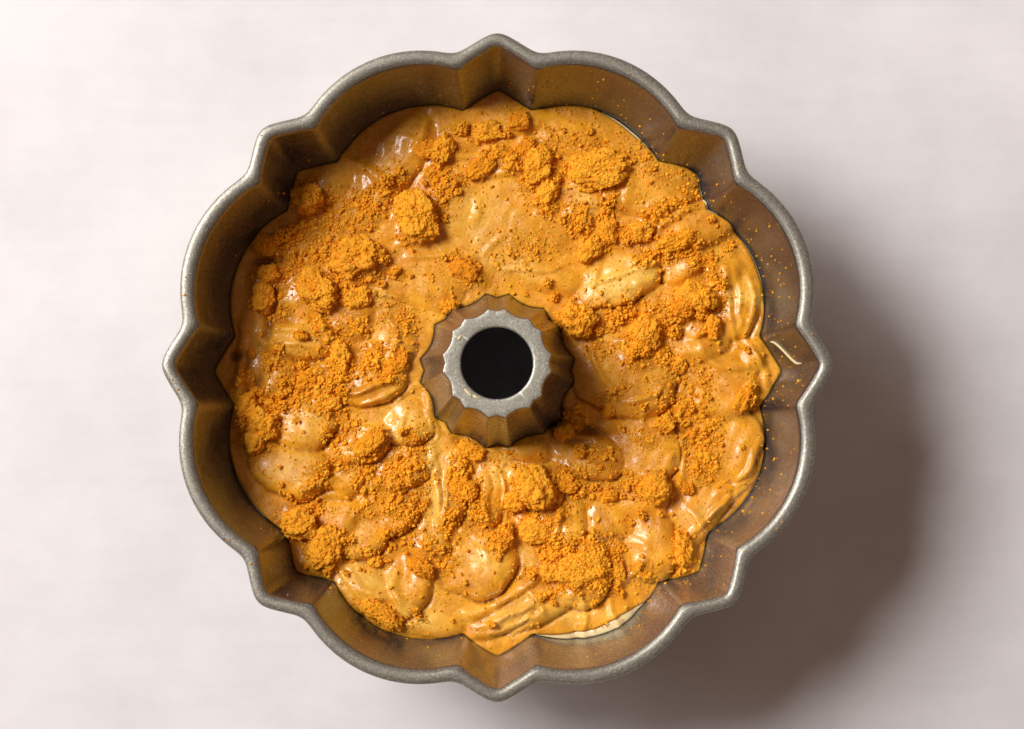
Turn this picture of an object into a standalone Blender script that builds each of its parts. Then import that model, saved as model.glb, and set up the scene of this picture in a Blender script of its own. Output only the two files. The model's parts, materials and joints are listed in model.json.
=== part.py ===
"""Fluted ring-cake pan (bundt pan), filled with two layers of batter and a crumb topping.

Run with: blender --background --python part.py
Units are metres, +Z is up, and the origin is the middle of the plane the pan stands on.
The pan is one casting. Its inner surface is a ring-shaped trough with 8 round lobes and 8 pointed
flutes between them. Both batter layers are shaped from that surface, and the filling lifts out
of the pan along +Z.
"""

import math

import bmesh
import bpy
from mathutils import Vector, noise

MM = 0.001

# The trough, measured on its valley lines: the 16 ridges where a lobe meets a pointed flute.
RIM_HEIGHT = 105 * MM
RIM_RADIUS = 121.4 * MM
WALL_DRAFT = math.radians(14.8)
TUBE_HEIGHT = 113 * MM
TUBE_RADIUS = 21.9 * MM
TUBE_DRAFT = math.radians(12.3)
FLOOR_HEIGHT = 9.9 * MM

# The casting.
WALL_THICKNESS = 3.2 * MM
LIP_WIDTH = 5.6 * MM
LIP_ROUNDING = 1.4 * MM
APEX_SOFTENING = 1.1 * MM
HOLE_RADIUS = 14.2 * MM

# The flutes, at five stations: rim, foot of the wall, floor, foot of the tube, top of the tube.
FLUTE_PAIRS = 8
LOBE_DEPTHS = [7.0 * MM, 7.2 * MM, 7.5 * MM, 3.2 * MM, 1.8 * MM]
PEAK_DEPTHS = [9.1 * MM, 7.5 * MM, 6.5 * MM, 2.4 * MM, 1.2 * MM]
PEAK_HALF_ANGLES = [7.5, 7.5, 7.8, 8.6, 9.2]

# The filling.
LAYER_HEIGHT = 38 * MM
BATTER_HEIGHT = 65 * MM
BATTER_CROWN = 1.5 * MM
GAP = 0.35 * MM

# Crumb lumps: bearing in degrees from +X, distance from the axis, length, width and height in mm.
LUMPS = [
    (138, 107.0, 12, 11, 10),
    (141, 75.5, 18, 13, 7),
    (156, 82.5, 16, 12, 7),
    (118, 73.0, 17, 16, 8),
    (104, 96.0, 13, 10, 7),
    (63.5, 95.0, 19, 14, 8),
    (79, 88.0, 14, 12, 7),
    (32, 39.5, 12, 14, 11),
    (15, 64.0, 17, 13, 8),
    (20, 89.0, 15, 12, 8),
    (288, 51.0, 16, 17, 9),
    (323, 82.0, 13, 14, 9),
    (293, 89.0, 24, 18, 8),
    (218, 104.0, 14, 13, 10),
    (226, 102.5, 14, 15, 9),
    (245, 112.0, 17, 9, 8),
    (316, 107.0, 8, 14, 8),
    (193, 100.0, 14, 12, 9),
    (163, 103.0, 13, 11, 7),
    (342, 73.0, 9, 8, 6),
]
LUMP_ROUGHNESS = 0.16

# Mesh resolution.
COLUMNS_PER_PAIR = 12
WALL_ROWS = 3
FLOOR_ROWS = 8
TUBE_ROWS = 3
CROWN_ROWS = 4

PAN_GREY = (0.20, 0.20, 0.18, 1)
PLAIN_BATTER = (0.86, 0.74, 0.44, 1)
SPICED_BATTER = (0.60, 0.33, 0.11, 1)
CRUMB_ORANGE = (0.62, 0.24, 0.03, 1)


def clear_scene():
    for obj in list(bpy.data.objects):
        bpy.data.objects.remove(obj)


def new_collection(name):
    made = bpy.data.collections.new(name)
    bpy.context.scene.collection.children.link(made)
    return made


def new_material(name, colour, roughness, metallic=0):
    made = bpy.data.materials.new(name)
    made.use_nodes = True
    shader = made.node_tree.nodes["Principled BSDF"]
    shader.inputs["Base Color"].default_value = colour
    shader.inputs["Roughness"].default_value = roughness
    shader.inputs["Metallic"].default_value = metallic
    return made


def new_object(name, mesh, collection, material):
    obj = bpy.data.objects.new(name, mesh)
    collection.objects.link(obj)
    mesh.materials.append(material)
    mesh.shade_smooth()
    mesh.set_sharp_from_angle(angle=math.radians(30))
    return obj


def floor_arc():
    """Centre and radius of the arc that joins the wall line to the tube line and touches FLOOR_HEIGHT."""
    wall_reach = 1 / math.cos(WALL_DRAFT) - math.tan(WALL_DRAFT)
    tube_reach = 1 / math.cos(TUBE_DRAFT) - math.tan(TUBE_DRAFT)
    wall_at_floor = RIM_RADIUS - (RIM_HEIGHT - FLOOR_HEIGHT) * math.tan(WALL_DRAFT)
    tube_at_floor = TUBE_RADIUS + (TUBE_HEIGHT - FLOOR_HEIGHT) * math.tan(TUBE_DRAFT)
    radius = (wall_at_floor - tube_at_floor) / (wall_reach + tube_reach)
    return tube_at_floor + radius * tube_reach, FLOOR_HEIGHT + radius, radius



ARC_CENTRE, ARC_HEIGHT, ARC_RADIUS = floor_arc()
WALL_FOOT = ARC_HEIGHT - ARC_RADIUS * math.sin(WALL_DRAFT)
TUBE_FOOT = ARC_HEIGHT - ARC_RADIUS * math.sin(TUBE_DRAFT)


def at_station(values, station):
    """The value at a station between 0 (rim) and 4 (top of the tube)."""
    low = min(int(station), len(values) - 2)
    share = station - low
    return values[low] + (values[low + 1] - values[low]) * share


def flute(column, station):
    """(bearing, depth) of a column of the mesh; depth is how far it lies behind the valley lines.

    Columns are spread so that each peak and valley line keeps its own column at every station.
    """
    half_pair = 180 / FLUTE_PAIRS
    pair_angle = 2 * half_pair
    rim_half = PEAK_HALF_ANGLES[0]
    peak_half = at_station(PEAK_HALF_ANGLES, station)
    centre = round(column / COLUMNS_PER_PAIR) * pair_angle
    offset = column * pair_angle / COLUMNS_PER_PAIR - centre
    side, offset = math.copysign(1, offset), abs(offset)
    if offset <= rim_half:
        share = offset / rim_half
        bearing = share * peak_half
        depth = at_station(PEAK_DEPTHS, station) * (1 - share)
    else:
        share = (half_pair - offset) / (half_pair - rim_half)
        bearing = half_pair - share * (half_pair - peak_half)
        depth = at_station(LOBE_DEPTHS, station) * (1 - share**2)
    return math.radians(centre + side * bearing), depth


def wall_point(column, height, gap=0.0):
    """A point of the trough's outer wall, gap inside the metal's surface."""
    station = (RIM_HEIGHT - height) / (RIM_HEIGHT - WALL_FOOT)
    bearing, depth = flute(column, station)
    radius = RIM_RADIUS - (RIM_HEIGHT - height) * math.tan(WALL_DRAFT) + depth - gap
    return radius, bearing, height


def tube_point(column, height, gap=0.0):
    """A point of the tube's outer face, gap clear of the metal's surface."""
    station = 3 + (height - TUBE_FOOT) / (TUBE_HEIGHT - TUBE_FOOT)
    bearing, depth = flute(column, station)
    radius = TUBE_RADIUS + (TUBE_HEIGHT - height) * math.tan(TUBE_DRAFT) - depth + gap
    return radius, bearing, height


def floor_point(column, share, gap=0.0):
    """A point of the trough's floor: share runs from 0 at the wall's foot to 1 at the tube's foot."""
    angle = WALL_DRAFT + share * (math.pi - WALL_DRAFT - TUBE_DRAFT)
    push = share * math.pi
    bearing, depth = flute(column, 1 + 2 * share)
    out = depth - gap
    radius = ARC_CENTRE + ARC_RADIUS * math.cos(angle) + out * math.cos(push)
    height = ARC_HEIGHT - ARC_RADIUS * math.sin(angle) - out * math.sin(push)
    return radius, bearing, height


def steps(first, last, count):
    """count values from first towards last, without last."""
    return [first + (last - first) * k / count for k in range(count)]


def trough(column, wall_top, tube_top, gap=0.0):
    """The trough's section at a column, from wall_top down the wall, over the floor and up to tube_top."""
    points = [wall_point(column, z, gap) for z in steps(wall_top, WALL_FOOT, WALL_ROWS)]
    points += [floor_point(column, s, gap) for s in steps(0, 1, FLOOR_ROWS)]
    points += [tube_point(column, z, gap) for z in steps(TUBE_FOOT, tube_top, TUBE_ROWS)]
    return points + [tube_point(column, tube_top, gap)]


def loft_ring(name, section, closed):
    """A mesh lofted once round the axis through section(column), a list of (radius, bearing, height)."""
    bm = bmesh.new()
    rings = []
    for column in range(FLUTE_PAIRS * COLUMNS_PER_PAIR):
        corners = []
        for radius, bearing, height in section(column):
            place = (radius * math.cos(bearing), radius * math.sin(bearing), height)
            corners.append(bm.verts.new(place))
        rings.append(corners)
    rows = len(rings[0])
    for column, ring in enumerate(rings):
        following = rings[(column + 1) % len(rings)]
        for row in range(rows if closed else rows - 1):
            after = (row + 1) % rows
            bm.faces.new((ring[row], ring[after], following[after], following[row]))
    bmesh.ops.recalc_face_normals(bm, faces=bm.faces)
    mesh = bpy.data.meshes.new(name)
    bm.to_mesh(mesh)
    bm.free()
    return mesh


def pan_section(column):
    """The casting's upper face: lip, trough and the flat ring round the tube's hole."""
    rim, bearing, _ = wall_point(column, RIM_HEIGHT)
    at_apex = column % COLUMNS_PER_PAIR == 0
    edge = rim + LIP_WIDTH - (APEX_SOFTENING if at_apex else 0)
    lip = [(edge, bearing, RIM_HEIGHT), (rim + LIP_ROUNDING, bearing, RIM_HEIGHT)]
    hole = (HOLE_RADIUS, tube_point(column, TUBE_HEIGHT)[1], TUBE_HEIGHT)
    return lip + trough(column, RIM_HEIGHT - LIP_ROUNDING, TUBE_HEIGHT) + [hole]


def make_pan(collection, cutters):
    """The casting, an open surface thickened downwards, with its lowest lobes cut flat to stand on."""
    coated = new_material("coated_cast_aluminium", PAN_GREY, roughness=0.42, metallic=0.75)
    pan = new_object("pan_casting", loft_ring("pan_casting", pan_section, False), collection, coated)
    shell = pan.modifiers.new("thickness", "SOLIDIFY")
    shell.thickness = WALL_THICKNESS
    shell.offset = -1
    shell.use_even_offset = True
    cutter_size = 3 * RIM_RADIUS
    bpy.ops.mesh.primitive_cube_add(size=cutter_size, location=(0, 0, -cutter_size / 2))
    cutter = bpy.context.active_object
    cutter.name = "standing_plane"
    cutter.hide_render = True
    cutter.display_type = "WIRE"
    for owner in list(cutter.users_collection):
        owner.objects.unlink(cutter)
    cutters.objects.link(cutter)
    flats = pan.modifiers.new("standing_flats", "BOOLEAN")
    flats.operation = "DIFFERENCE"
    flats.object = cutter


def lower_section(column):
    """The plain batter's closed section: the lower trough, level on top."""
    bottom = [floor_point(column, share, GAP) for share in steps(0, 1, FLOOR_ROWS)]
    start, end = wall_point(column, LAYER_HEIGHT, GAP), tube_point(column, LAYER_HEIGHT, GAP)
    below = [point for point in bottom if point[2] < LAYER_HEIGHT - GAP]
    return [start] + below + [end]


def crown(start, end, share):
    """A point of the batter's top, share of the way from start to end, a little higher midway."""
    radius = start[0] + (end[0] - start[0]) * share
    bearing = start[1] + (end[1] - start[1]) * share
    return radius, bearing, start[2] + BATTER_CROWN * math.sin(math.pi * share)


def upper_section(column):
    """The spiced batter's closed section: level below, gently crowned on top."""
    foot = LAYER_HEIGHT + GAP
    low, high = wall_point(column, foot, GAP), wall_point(column, BATTER_HEIGHT, GAP)
    start, end = tube_point(column, BATTER_HEIGHT, GAP), tube_point(column, foot, GAP)
    top = [crown(high, start, share) for share in steps(0, 1, CROWN_ROWS)]
    return [low] + top + [start, end]


def make_batter(collection):
    """Two ring-shaped layers that fill the trough to BATTER_HEIGHT."""
    plain = new_material("plain_batter", PLAIN_BATTER, roughness=0.35)
    spiced = new_material("spiced_batter", SPICED_BATTER, roughness=0.25)
    new_object("lower_batter", loft_ring("lower_batter", lower_section, True), collection, plain)
    new_object("upper_batter", loft_ring("upper_batter", upper_section, True), collection, spiced)


def make_lump(name, place, collection, material):
    """One lump of crumb, resting just clear of the batter."""
    bearing, distance, length, width, height = place
    bm = bmesh.new()
    bmesh.ops.create_icosphere(bm, subdivisions=2, radius=0.5)
    for vert in bm.verts:
        ripple = noise.noise(vert.co * 3 + Vector((bearing, distance, 0)))
        vert.co *= 1 + LUMP_ROUGHNESS * ripple
        vert.co = Vector((vert.co.x * width, vert.co.y * length, vert.co.z * height)) * MM
    lowest = min(vert.co.z for vert in bm.verts)
    mesh = bpy.data.meshes.new(name)
    bm.to_mesh(mesh)
    bm.free()
    lump = new_object(name, mesh, collection, material)
    angle = math.radians(bearing)
    rest = BATTER_HEIGHT + BATTER_CROWN + GAP - lowest
    lump.location = (distance * MM * math.cos(angle), distance * MM * math.sin(angle), rest)
    lump.rotation_euler.z = angle


def make_crumbs(collection):
    """The crumb topping's larger lumps, each a loose piece."""
    crumb = new_material("brown_sugar_crumb", CRUMB_ORANGE, roughness=0.9)
    for number, place in enumerate(LUMPS, start=1):
        make_lump(f"crumb_lump_{number:02d}", place, collection, crumb)



clear_scene()
part = new_collection("bundt_pan")
helpers = new_collection("cutters")
make_pan(part, helpers)
make_batter(part)
make_crumbs(part)
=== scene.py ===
"""Looks of the filled bundt pan: cast metal, two batters and sugar crumbs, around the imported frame.

Lengths are in metres unless a name or comment says millimetres. +Z is up, and bearings are in
degrees from +X, counter-clockwise from above.
"""

import json
import math

import bmesh
import bpy
import numpy as np
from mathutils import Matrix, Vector, noise


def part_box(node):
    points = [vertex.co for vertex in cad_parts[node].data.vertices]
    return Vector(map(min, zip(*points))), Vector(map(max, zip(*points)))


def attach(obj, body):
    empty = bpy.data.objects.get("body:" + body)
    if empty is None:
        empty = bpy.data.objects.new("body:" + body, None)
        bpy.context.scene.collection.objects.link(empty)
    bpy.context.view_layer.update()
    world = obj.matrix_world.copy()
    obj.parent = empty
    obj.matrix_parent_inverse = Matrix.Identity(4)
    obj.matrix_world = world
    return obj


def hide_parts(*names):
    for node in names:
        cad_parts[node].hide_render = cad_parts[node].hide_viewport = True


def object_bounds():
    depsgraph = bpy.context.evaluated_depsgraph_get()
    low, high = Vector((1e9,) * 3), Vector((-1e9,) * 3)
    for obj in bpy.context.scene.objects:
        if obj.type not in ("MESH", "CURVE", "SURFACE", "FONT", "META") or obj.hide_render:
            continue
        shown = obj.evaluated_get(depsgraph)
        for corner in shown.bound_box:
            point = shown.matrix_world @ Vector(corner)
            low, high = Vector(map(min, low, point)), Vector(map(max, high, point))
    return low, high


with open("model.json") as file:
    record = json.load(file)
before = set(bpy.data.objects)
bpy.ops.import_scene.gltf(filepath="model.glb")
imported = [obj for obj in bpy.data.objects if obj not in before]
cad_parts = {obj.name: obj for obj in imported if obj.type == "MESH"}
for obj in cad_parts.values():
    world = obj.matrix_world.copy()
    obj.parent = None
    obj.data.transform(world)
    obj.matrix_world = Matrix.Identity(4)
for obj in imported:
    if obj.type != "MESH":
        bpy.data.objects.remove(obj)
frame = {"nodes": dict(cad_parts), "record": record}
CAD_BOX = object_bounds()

MM = 0.001
MOUNTS = {mount["name"]: mount["pos_m"] for mount in frame["record"]["mounts"]}

# The casting's section on its valley lines, as in the frame.
RIM_HEIGHT = MOUNTS["rim_top"][2]
TUBE_HEIGHT = MOUNTS["tube_top"][2]
LIP_WIDTH = 5.6 * MM
PEAK_AT_RIM = 9.1 * MM
TIP_ROUNDING = 1.1 * MM
RIM_RADIUS = CAD_BOX[1].x + TIP_ROUNDING - LIP_WIDTH - PEAK_AT_RIM
WALL_DRAFT = math.radians(14.8)
TUBE_RADIUS = 21.9 * MM
TUBE_DRAFT = math.radians(12.3)
FLOOR_HEIGHT = 9.9 * MM
WALL_THICKNESS = 3.2 * MM
HOLE_RADIUS = 14.2 * MM

# The flutes, at five stations: rim, foot of the wall, floor, foot of the tube, top of the tube.
PAIRS = 8
LOBE_DEPTHS = [7.0 * MM, 7.2 * MM, 7.5 * MM, 3.2 * MM, 1.8 * MM]
PEAK_DEPTHS = [PEAK_AT_RIM, 7.5 * MM, 6.5 * MM, 2.4 * MM, 1.2 * MM]
PEAK_HALF_ANGLES = [7.5, 7.5, 7.8, 8.6, 9.2]

# The filling's levels, from the frame: BATTER_HEIGHT is the level that the folds and dollops rise from.
LAYER_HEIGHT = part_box("lower_batter")[1].z
RELIEF_ROOM = 1.5 * MM
BATTER_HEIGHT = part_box("upper_batter")[1].z - RELIEF_ROOM

# Clearance between the batter and the pan on hidden sides, and at the edges in sight.
GAP = 0.3 * MM
TOUCH = 0.12 * MM

# Dollops of spiced batter, in mm and degrees, each laid over the ones before it: x, y, length, width,
# bearing of the length, height, and the bearing of the front, which ends in a steep face.
DOLLOPS = [
    (-92, 66, 30, 18, 50, 2.4, 300), (-74, 78, 30, 20, 45, 3.0, 300), (-43, 90, 44, 22, 57, 3.8, 335),
    (-60, 66, 34, 22, 40, 2.6, 310), (-97, 52, 14, 13, 90, 2.6, 270), (-99, 39, 15, 13, 80, 3.0, 270),
    (-18, 98, 26, 18, 20, 2.6, 280), (6, 106, 34, 13, 0, 3.2, 270), (30, 99, 30, 16, 160, 3.4, 250),
    (4, 88, 22, 12, 340, 3.4, 300), (10, 66, 64, 46, 20, 2.2, 300), (18, 42, 38, 15, 335, 3.0, 260),
    (36, 74, 26, 24, 90, 3.4, 250), (62, 80, 46, 30, 340, 4.4, 260), (66, 58, 30, 20, 20, 3.4, 280),
    (83, 60, 40, 18, 22, 5.6, 110), (94, 44, 20, 18, 300, 3.2, 280), (78, 43, 20, 13, 20, 3.6, 290),
    (50, 37, 40, 19, 20, 5.8, 300), (72, 28, 26, 18, 10, 3.2, 280), (101, 28, 30, 18, 82, 4.0, 290),
    (84, 14, 26, 22, 30, 4.0, 290), (107, 6, 16, 12, 90, 3.0, 270), (52, 0, 48, 38, 330, 6.2, 275),
    (94, -6, 32, 27, 320, 5.2, 300), (108, -9, 12, 14, 60, 2.6, 300), (80, -38, 28, 26, 270, 3.2, 290),
    (98, -31, 30, 25, 60, 5.4, 300), (60, -52, 24, 22, 0, 3.6, 280), (36, -34, 33, 20, 340, 5.2, 285),
    (62, -33, 27, 28, 290, 5.8, 340), (84, -57, 34, 22, 55, 4.4, 300), (12, -32, 22, 12, 350, 3.6, 270),
    (64, -71, 35, 21, 280, 6.4, 330), (46, -62, 20, 22, 270, 3.4, 270), (28, -62, 26, 20, 270, 4.2, 290),
    (15, -48, 24, 20, 0, 4.2, 280), (-4, -52, 15, 28, 0, 4.2, 300), (-20, -48, 16, 34, 0, 4.4, 300),
    (44, -102, 30, 12, 10, 4.2, 280), (34, -84, 31, 27, 300, 6.2, 290), (14, -98, 34, 20, 20, 4.2, 290),
    (0, -104, 30, 12, 20, 4.0, 290), (-8, -80, 32, 28, 340, 6.6, 285), (-30, -104, 34, 14, 350, 3.4, 280),
    (-58, -90, 34, 20, 340, 4.6, 290), (-38, -90, 28, 22, 250, 5.8, 290), (-28, -70, 18, 20, 0, 4.2, 280),
    (-46, -60, 24, 20, 20, 4.4, 290), (-68, -62, 24, 20, 20, 4.8, 280), (-57, -69, 22, 20, 0, 5.4, 290),
    (-76, -76, 24, 16, 320, 3.4, 300), (-40, -42, 26, 18, 40, 4.0, 290), (-97, -30, 16, 24, 0, 3.4, 280),
    (-86, -39, 33, 27, 330, 6.4, 275), (-64, -46, 18, 14, 20, 3.6, 280),
    (-81, -22, 27, 22, 350, 6.0, 270), (-56, -30, 26, 15, 35, 4.8, 300), (-38, -22, 22, 20, 0, 4.4, 280),
    (-95, 0, 22, 22, 90, 3.8, 280), (-72, -4, 24, 18, 60, 3.6, 290), (-84, 14, 36, 19, 352, 5.2, 275),
    (-53, -5, 30, 19, 15, 5.8, 260), (-63, 24, 26, 20, 330, 3.0, 300), (-44, 14, 24, 20, 300, 2.8, 280),
    (-30, 38, 34, 22, 330, 2.6, 290), (-58, 44, 26, 18, 10, 3.2, 290), (-82, 32, 24, 18, 60, 3.4, 290),
    (-14, 40, 22, 12, 340, 2.2, 270),
]

# Folds of batter: start x, y, middle x, y, end x, y, width and height, in mm. The face on the right
# of the way the fold runs is the steeper one.
FOLDS = [
    (-80, 31, -74, 22, -69, 9, 2.0, 1.9), (-100, 15, -88, 19, -74, 14, 1.5, 1.5),
    (-98, 10, -86, 12, -74, 8, 1.6, 1.2), (-105, 24, -110, 0, -106, -24, 2.4, 2.2),
    (-110, 8, -105, 4, -108, -6, 1.4, 1.4), (-82, -52, -74, -45, -66, -49, 2.4, 2.4),
    (-78, -56, -73, -50, -68, -53, 1.4, 1.4), (-66, -10, -56, -12, -42, -2, 1.6, 1.8),
    (-62, -16, -52, -16, -42, -8, 1.4, 1.3), (-64, -34, -56, -32, -46, -24, 1.6, 1.8),
    (-62, -84, -55, -95, -42, -96, 2.2, 2.0), (-68, -80, -60, -93, -48, -100, 1.6, 1.4),
    (-42, -80, -46, -90, -38, -99, 1.8, 1.6), (-29, -31, -27, -50, -24, -68, 2.4, 2.2),
    (-21, -36, -21, -52, -23, -64, 1.5, 1.6), (-6, -42, -5, -56, -3, -66, 1.8, 1.8),
    (2, -42, 3, -54, 4, -64, 1.4, 1.4), (-31, -8, -27, -16, -27, -26, 2.0, 2.0),
    (-38, -18, -42, -27, -38, -36, 1.6, 1.6), (-15, -103, 5, -99, 20, -82, 2.8, 2.2),
    (-10, -107, 6, -105, 18, -94, 1.6, 1.6), (-8, -110, 8, -109, 22, -99, 1.2, 1.2),
    (10, -90, 18, -96, 20, -104, 1.4, 1.3), (34, -95, 36, -102, 33, -109, 1.8, 1.8),
    (46, -94, 46, -102, 52, -107, 1.4, 1.3), (24, -70, 30, -58, 22, -46, 1.6, 1.5),
    (38, -66, 44, -76, 50, -88, 1.6, 1.6), (50, -92, 58, -86, 62, -76, 1.8, 1.5),
    (76, -22, 77, -36, 74, -50, 2.2, 1.8), (94, -52, 104, -46, 109, -35, 2.6, 3.0),
    (88, -62, 100, -54, 108, -42, 1.8, 2.0), (80, -70, 92, -60, 100, -50, 1.8, 1.6),
    (78, -57, 84, -62, 86, -70, 1.8, 1.4), (99, 8, 113, 22, 104, 42, 1.3, 1.0),
    (96, 46, 95, 28, 99, 10, 1.2, 1.2), (100, 40, 100, 28, 102, 18, 1.2, 0.8),
    (85, 8, 93, -4, 107, 2, 1.6, 1.6), (104, 12, 112, 4, 112, -8, 1.6, 1.6),
    (53, -14, 62, -13, 70, -6, 1.3, 1.5), (38, 12, 42, 0, 48, -12, 1.6, 1.1),
    (2, 43, 16, 40, 28, 44, 1.3, 1.0), (38, 35, 50, 39, 64, 43, 1.6, 0.8),
    (90, 71, 78, 67, 64, 60, 1.5, 2.4), (-28, 108, -32, 100, -36, 92, 1.8, 1.8),
    (-20, 90, -10, 88, 2, 92, 1.6, 1.2), (-18, 84, -6, 80, 6, 84, 1.4, 1.1),
    (6, 108, 14, 98, 8, 90, 1.6, 1.2), (-70, 92, -52, 84, -40, 72, 2.2, 1.4),
    (-90, 72, -74, 66, -62, 56, 1.8, 1.2), (-93, 57, -92, 50, -93, 42, 1.2, 1.6),
    (-101, 45, -96, 45, -91, 44, 1.2, 1.4), (-60, 32, -46, 34, -36, 28, 1.6, 1.4),
    (-48, 24, -40, 14, -46, 6, 1.6, 1.4), (-36, 46, -20, 50, -8, 40, 1.8, 1.3),
    (16, -22, 26, -26, 34, -22, 1.6, 1.2),
]

# Patches of crumbs: x, y, length, width, bearing of the length, cover from 0 to 1, heap height in mm.
CRUMB_PATCHES = [
    (-33, 68, 20, 15, 340, 1.0, 2.4), (-22, 76, 16, 10, 40, 0.9, 1.6), (-26, 84, 18, 8, 60, 0.8, 1.4),
    (-20, 100, 10, 5, 0, 0.7, 0.8), (2, 90, 16, 9, 330, 0.9, 1.8), (-8, 86, 12, 7, 30, 0.85, 1.4),
    (18, 84, 16, 22, 0, 0.95, 1.8), (20, 70, 10, 10, 0, 0.7, 1.0), (-4, 101, 22, 6, 10, 0.6, 0.6),
    (-44, 77, 16, 8, 60, 0.55, 0.6), (-36, 57, 12, 10, 0, 0.6, 0.8), (-60, 64, 44, 18, 40, 0.62, 0.4),
    (-80, 62, 34, 14, 45, 0.62, 0.4), (-70, 52, 26, 14, 30, 0.7, 0.6), (-88, 44, 24, 14, 60, 0.5, 0.3),
    (-61, 45, 20, 15, 10, 1.0, 2.0), (-75, 36, 22, 12, 320, 1.0, 1.8), (-62, 34, 14, 9, 0, 0.9, 1.4),
    (-45, 41, 18, 8, 0, 0.6, 0.5), (-14, 43, 14, 9, 320, 0.85, 1.2), (-46, 26, 16, 10, 330, 0.5, 0.5),
    (10, 50, 24, 14, 20, 0.35, 0.3), (42, 86, 20, 15, 0, 0.9, 1.8), (34, 63, 14, 13, 0, 0.75, 1.2),
    (46, 70, 10, 16, 0, 0.8, 1.2), (41, 53, 12, 8, 0, 0.9, 1.6), (56, 58, 16, 9, 30, 0.5, 0.5),
    (66, 66, 16, 9, 20, 0.75, 1.2), (78, 71, 14, 6, 20, 0.7, 0.8), (74, 51, 24, 12, 20, 0.95, 1.8),
    (66, 47, 16, 8, 20, 0.85, 1.2), (85, 45, 14, 12, 0, 0.85, 1.6), (92, 32, 8, 22, 0, 0.8, 1.4),
    (97, 54, 10, 6, 300, 0.7, 0.8), (33, 21, 14, 14, 0, 0.8, 1.0), (52, 24, 26, 11, 20, 0.9, 1.4),
    (66, 20, 18, 16, 0, 1.0, 2.4), (78, 26, 18, 12, 20, 0.95, 1.8), (88, 17, 10, 8, 0, 0.8, 1.4),
    (58, 9, 16, 14, 300, 0.9, 1.2), (70, 5, 16, 8, 300, 0.7, 0.8), (42, 9, 10, 8, 0, 0.6, 0.5),
    (82, -6, 16, 8, 320, 0.5, 0.5), (76, -16, 24, 12, 330, 0.75, 0.8), (84, -26, 16, 16, 0, 0.95, 1.2),
    (86, -38, 12, 16, 0, 0.95, 1.0), (104, -12, 6, 16, 330, 0.9, 1.2), (48, -9, 14, 5, 20, 0.6, 0.5),
    (66, -48, 12, 11, 0, 1.0, 1.8), (54, -46, 18, 7, 320, 0.6, 0.5), (72, -52, 10, 5, 0, 0.5, 0.4),
    (62, -28, 14, 10, 0, 0.35, 0.3), (42, -36, 18, 10, 0, 0.5, 0.5), (46, -50, 14, 10, 0, 0.6, 0.6),
    (31, -47, 16, 14, 0, 0.95, 1.6), (30, -22, 12, 10, 30, 0.8, 1.0), (16, -48, 18, 16, 0, 1.0, 2.2),
    (24, -58, 14, 10, 0, 0.9, 1.4), (14, -64, 14, 12, 0, 0.85, 1.4), (2, -70, 18, 9, 20, 0.8, 1.2),
    (36, -80, 24, 22, 0, 1.0, 2.4), (22, -76, 14, 14, 0, 0.9, 1.6), (46, -88, 12, 10, 0, 0.9, 1.6),
    (12, -84, 12, 8, 0, 0.6, 0.8), (24, -92, 14, 7, 20, 0.6, 0.6), (50, -76, 8, 16, 0, 0.8, 1.0),
    (76, -82, 8, 10, 0, 0.95, 1.6), (77, -72, 7, 8, 0, 0.8, 1.0), (-15, -46, 10, 22, 0, 0.95, 1.8),
    (-9, -58, 12, 14, 0, 0.8, 1.2), (-34, -44, 8, 14, 0, 0.85, 1.2), (-35, -58, 10, 16, 0, 0.9, 1.4),
    (-20, -64, 6, 14, 0, 0.8, 1.0), (-30, -72, 20, 9, 340, 0.85, 1.2), (-22, -80, 10, 8, 0, 0.8, 1.4),
    (-20, -66, 12, 10, 0, 0.8, 1.0), (-40, -45, 22, 18, 0, 0.95, 1.8), (-53, -34, 18, 13, 30, 0.9, 1.4),
    (-52, -46, 14, 16, 0, 0.95, 1.8), (-42, -56, 16, 10, 0, 0.85, 1.2), (-43, -70, 12, 9, 0, 0.7, 0.8),
    (-54, -58, 12, 8, 0, 0.8, 1.0), (-68, -40, 22, 8, 20, 0.75, 0.8), (-74, -47, 16, 5, 20, 0.6, 0.6),
    (-70, -74, 18, 14, 20, 1.0, 1.8), (-84, -65, 14, 14, 0, 1.0, 1.8), (-76, -58, 14, 7, 0, 0.7, 0.8),
    (-50, -78, 12, 7, 340, 0.6, 0.6), (-49, -102, 16, 10, 340, 1.0, 1.8), (-36, -104, 14, 6, 0, 0.4, 0.4),
    (-99, -26, 16, 13, 30, 1.0, 2.0), (-92, -12, 20, 12, 0, 0.9, 1.4), (-106, -6, 9, 12, 0, 0.9, 1.4),
    (-106, -20, 8, 14, 0, 0.8, 1.2), (-82, -6, 22, 14, 20, 0.95, 1.4), (-70, -14, 16, 12, 0, 0.85, 1.0),
    (-66, 2, 16, 22, 0, 1.0, 1.6), (-54, 4, 18, 11, 20, 1.0, 1.8), (-46, -1, 12, 8, 0, 0.8, 1.0),
    (-73, 14, 8, 20, 20, 0.85, 1.0), (-60, 18, 14, 12, 0, 0.7, 0.8), (-42, 6, 14, 8, 30, 0.5, 0.5),
    (-40, 20, 12, 12, 0, 0.6, 0.6), (-92, 24, 12, 8, 0, 0.5, 0.4), (-94, 4, 10, 12, 0, 0.75, 0.8),
    (-66, -26, 18, 10, 30, 0.7, 0.6), (-34, -30, 10, 12, 0, 0.7, 0.8), (0, -38, 16, 7, 0, 0.4, 0.4),
    (60, -84, 10, 12, 0, 0.5, 0.5), (80, 0, 20, 10, 0, 0.35, 0.3), (30, 96, 22, 8, 340, 0.4, 0.3),
    (62, 88, 26, 10, 320, 0.35, 0.3), (80, 80, 16, 12, 320, 0.35, 0.3), (-100, 34, 10, 14, 0, 0.6, 0.6),
    (-84, 76, 14, 8, 40, 0.6, 0.6),
]

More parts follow.
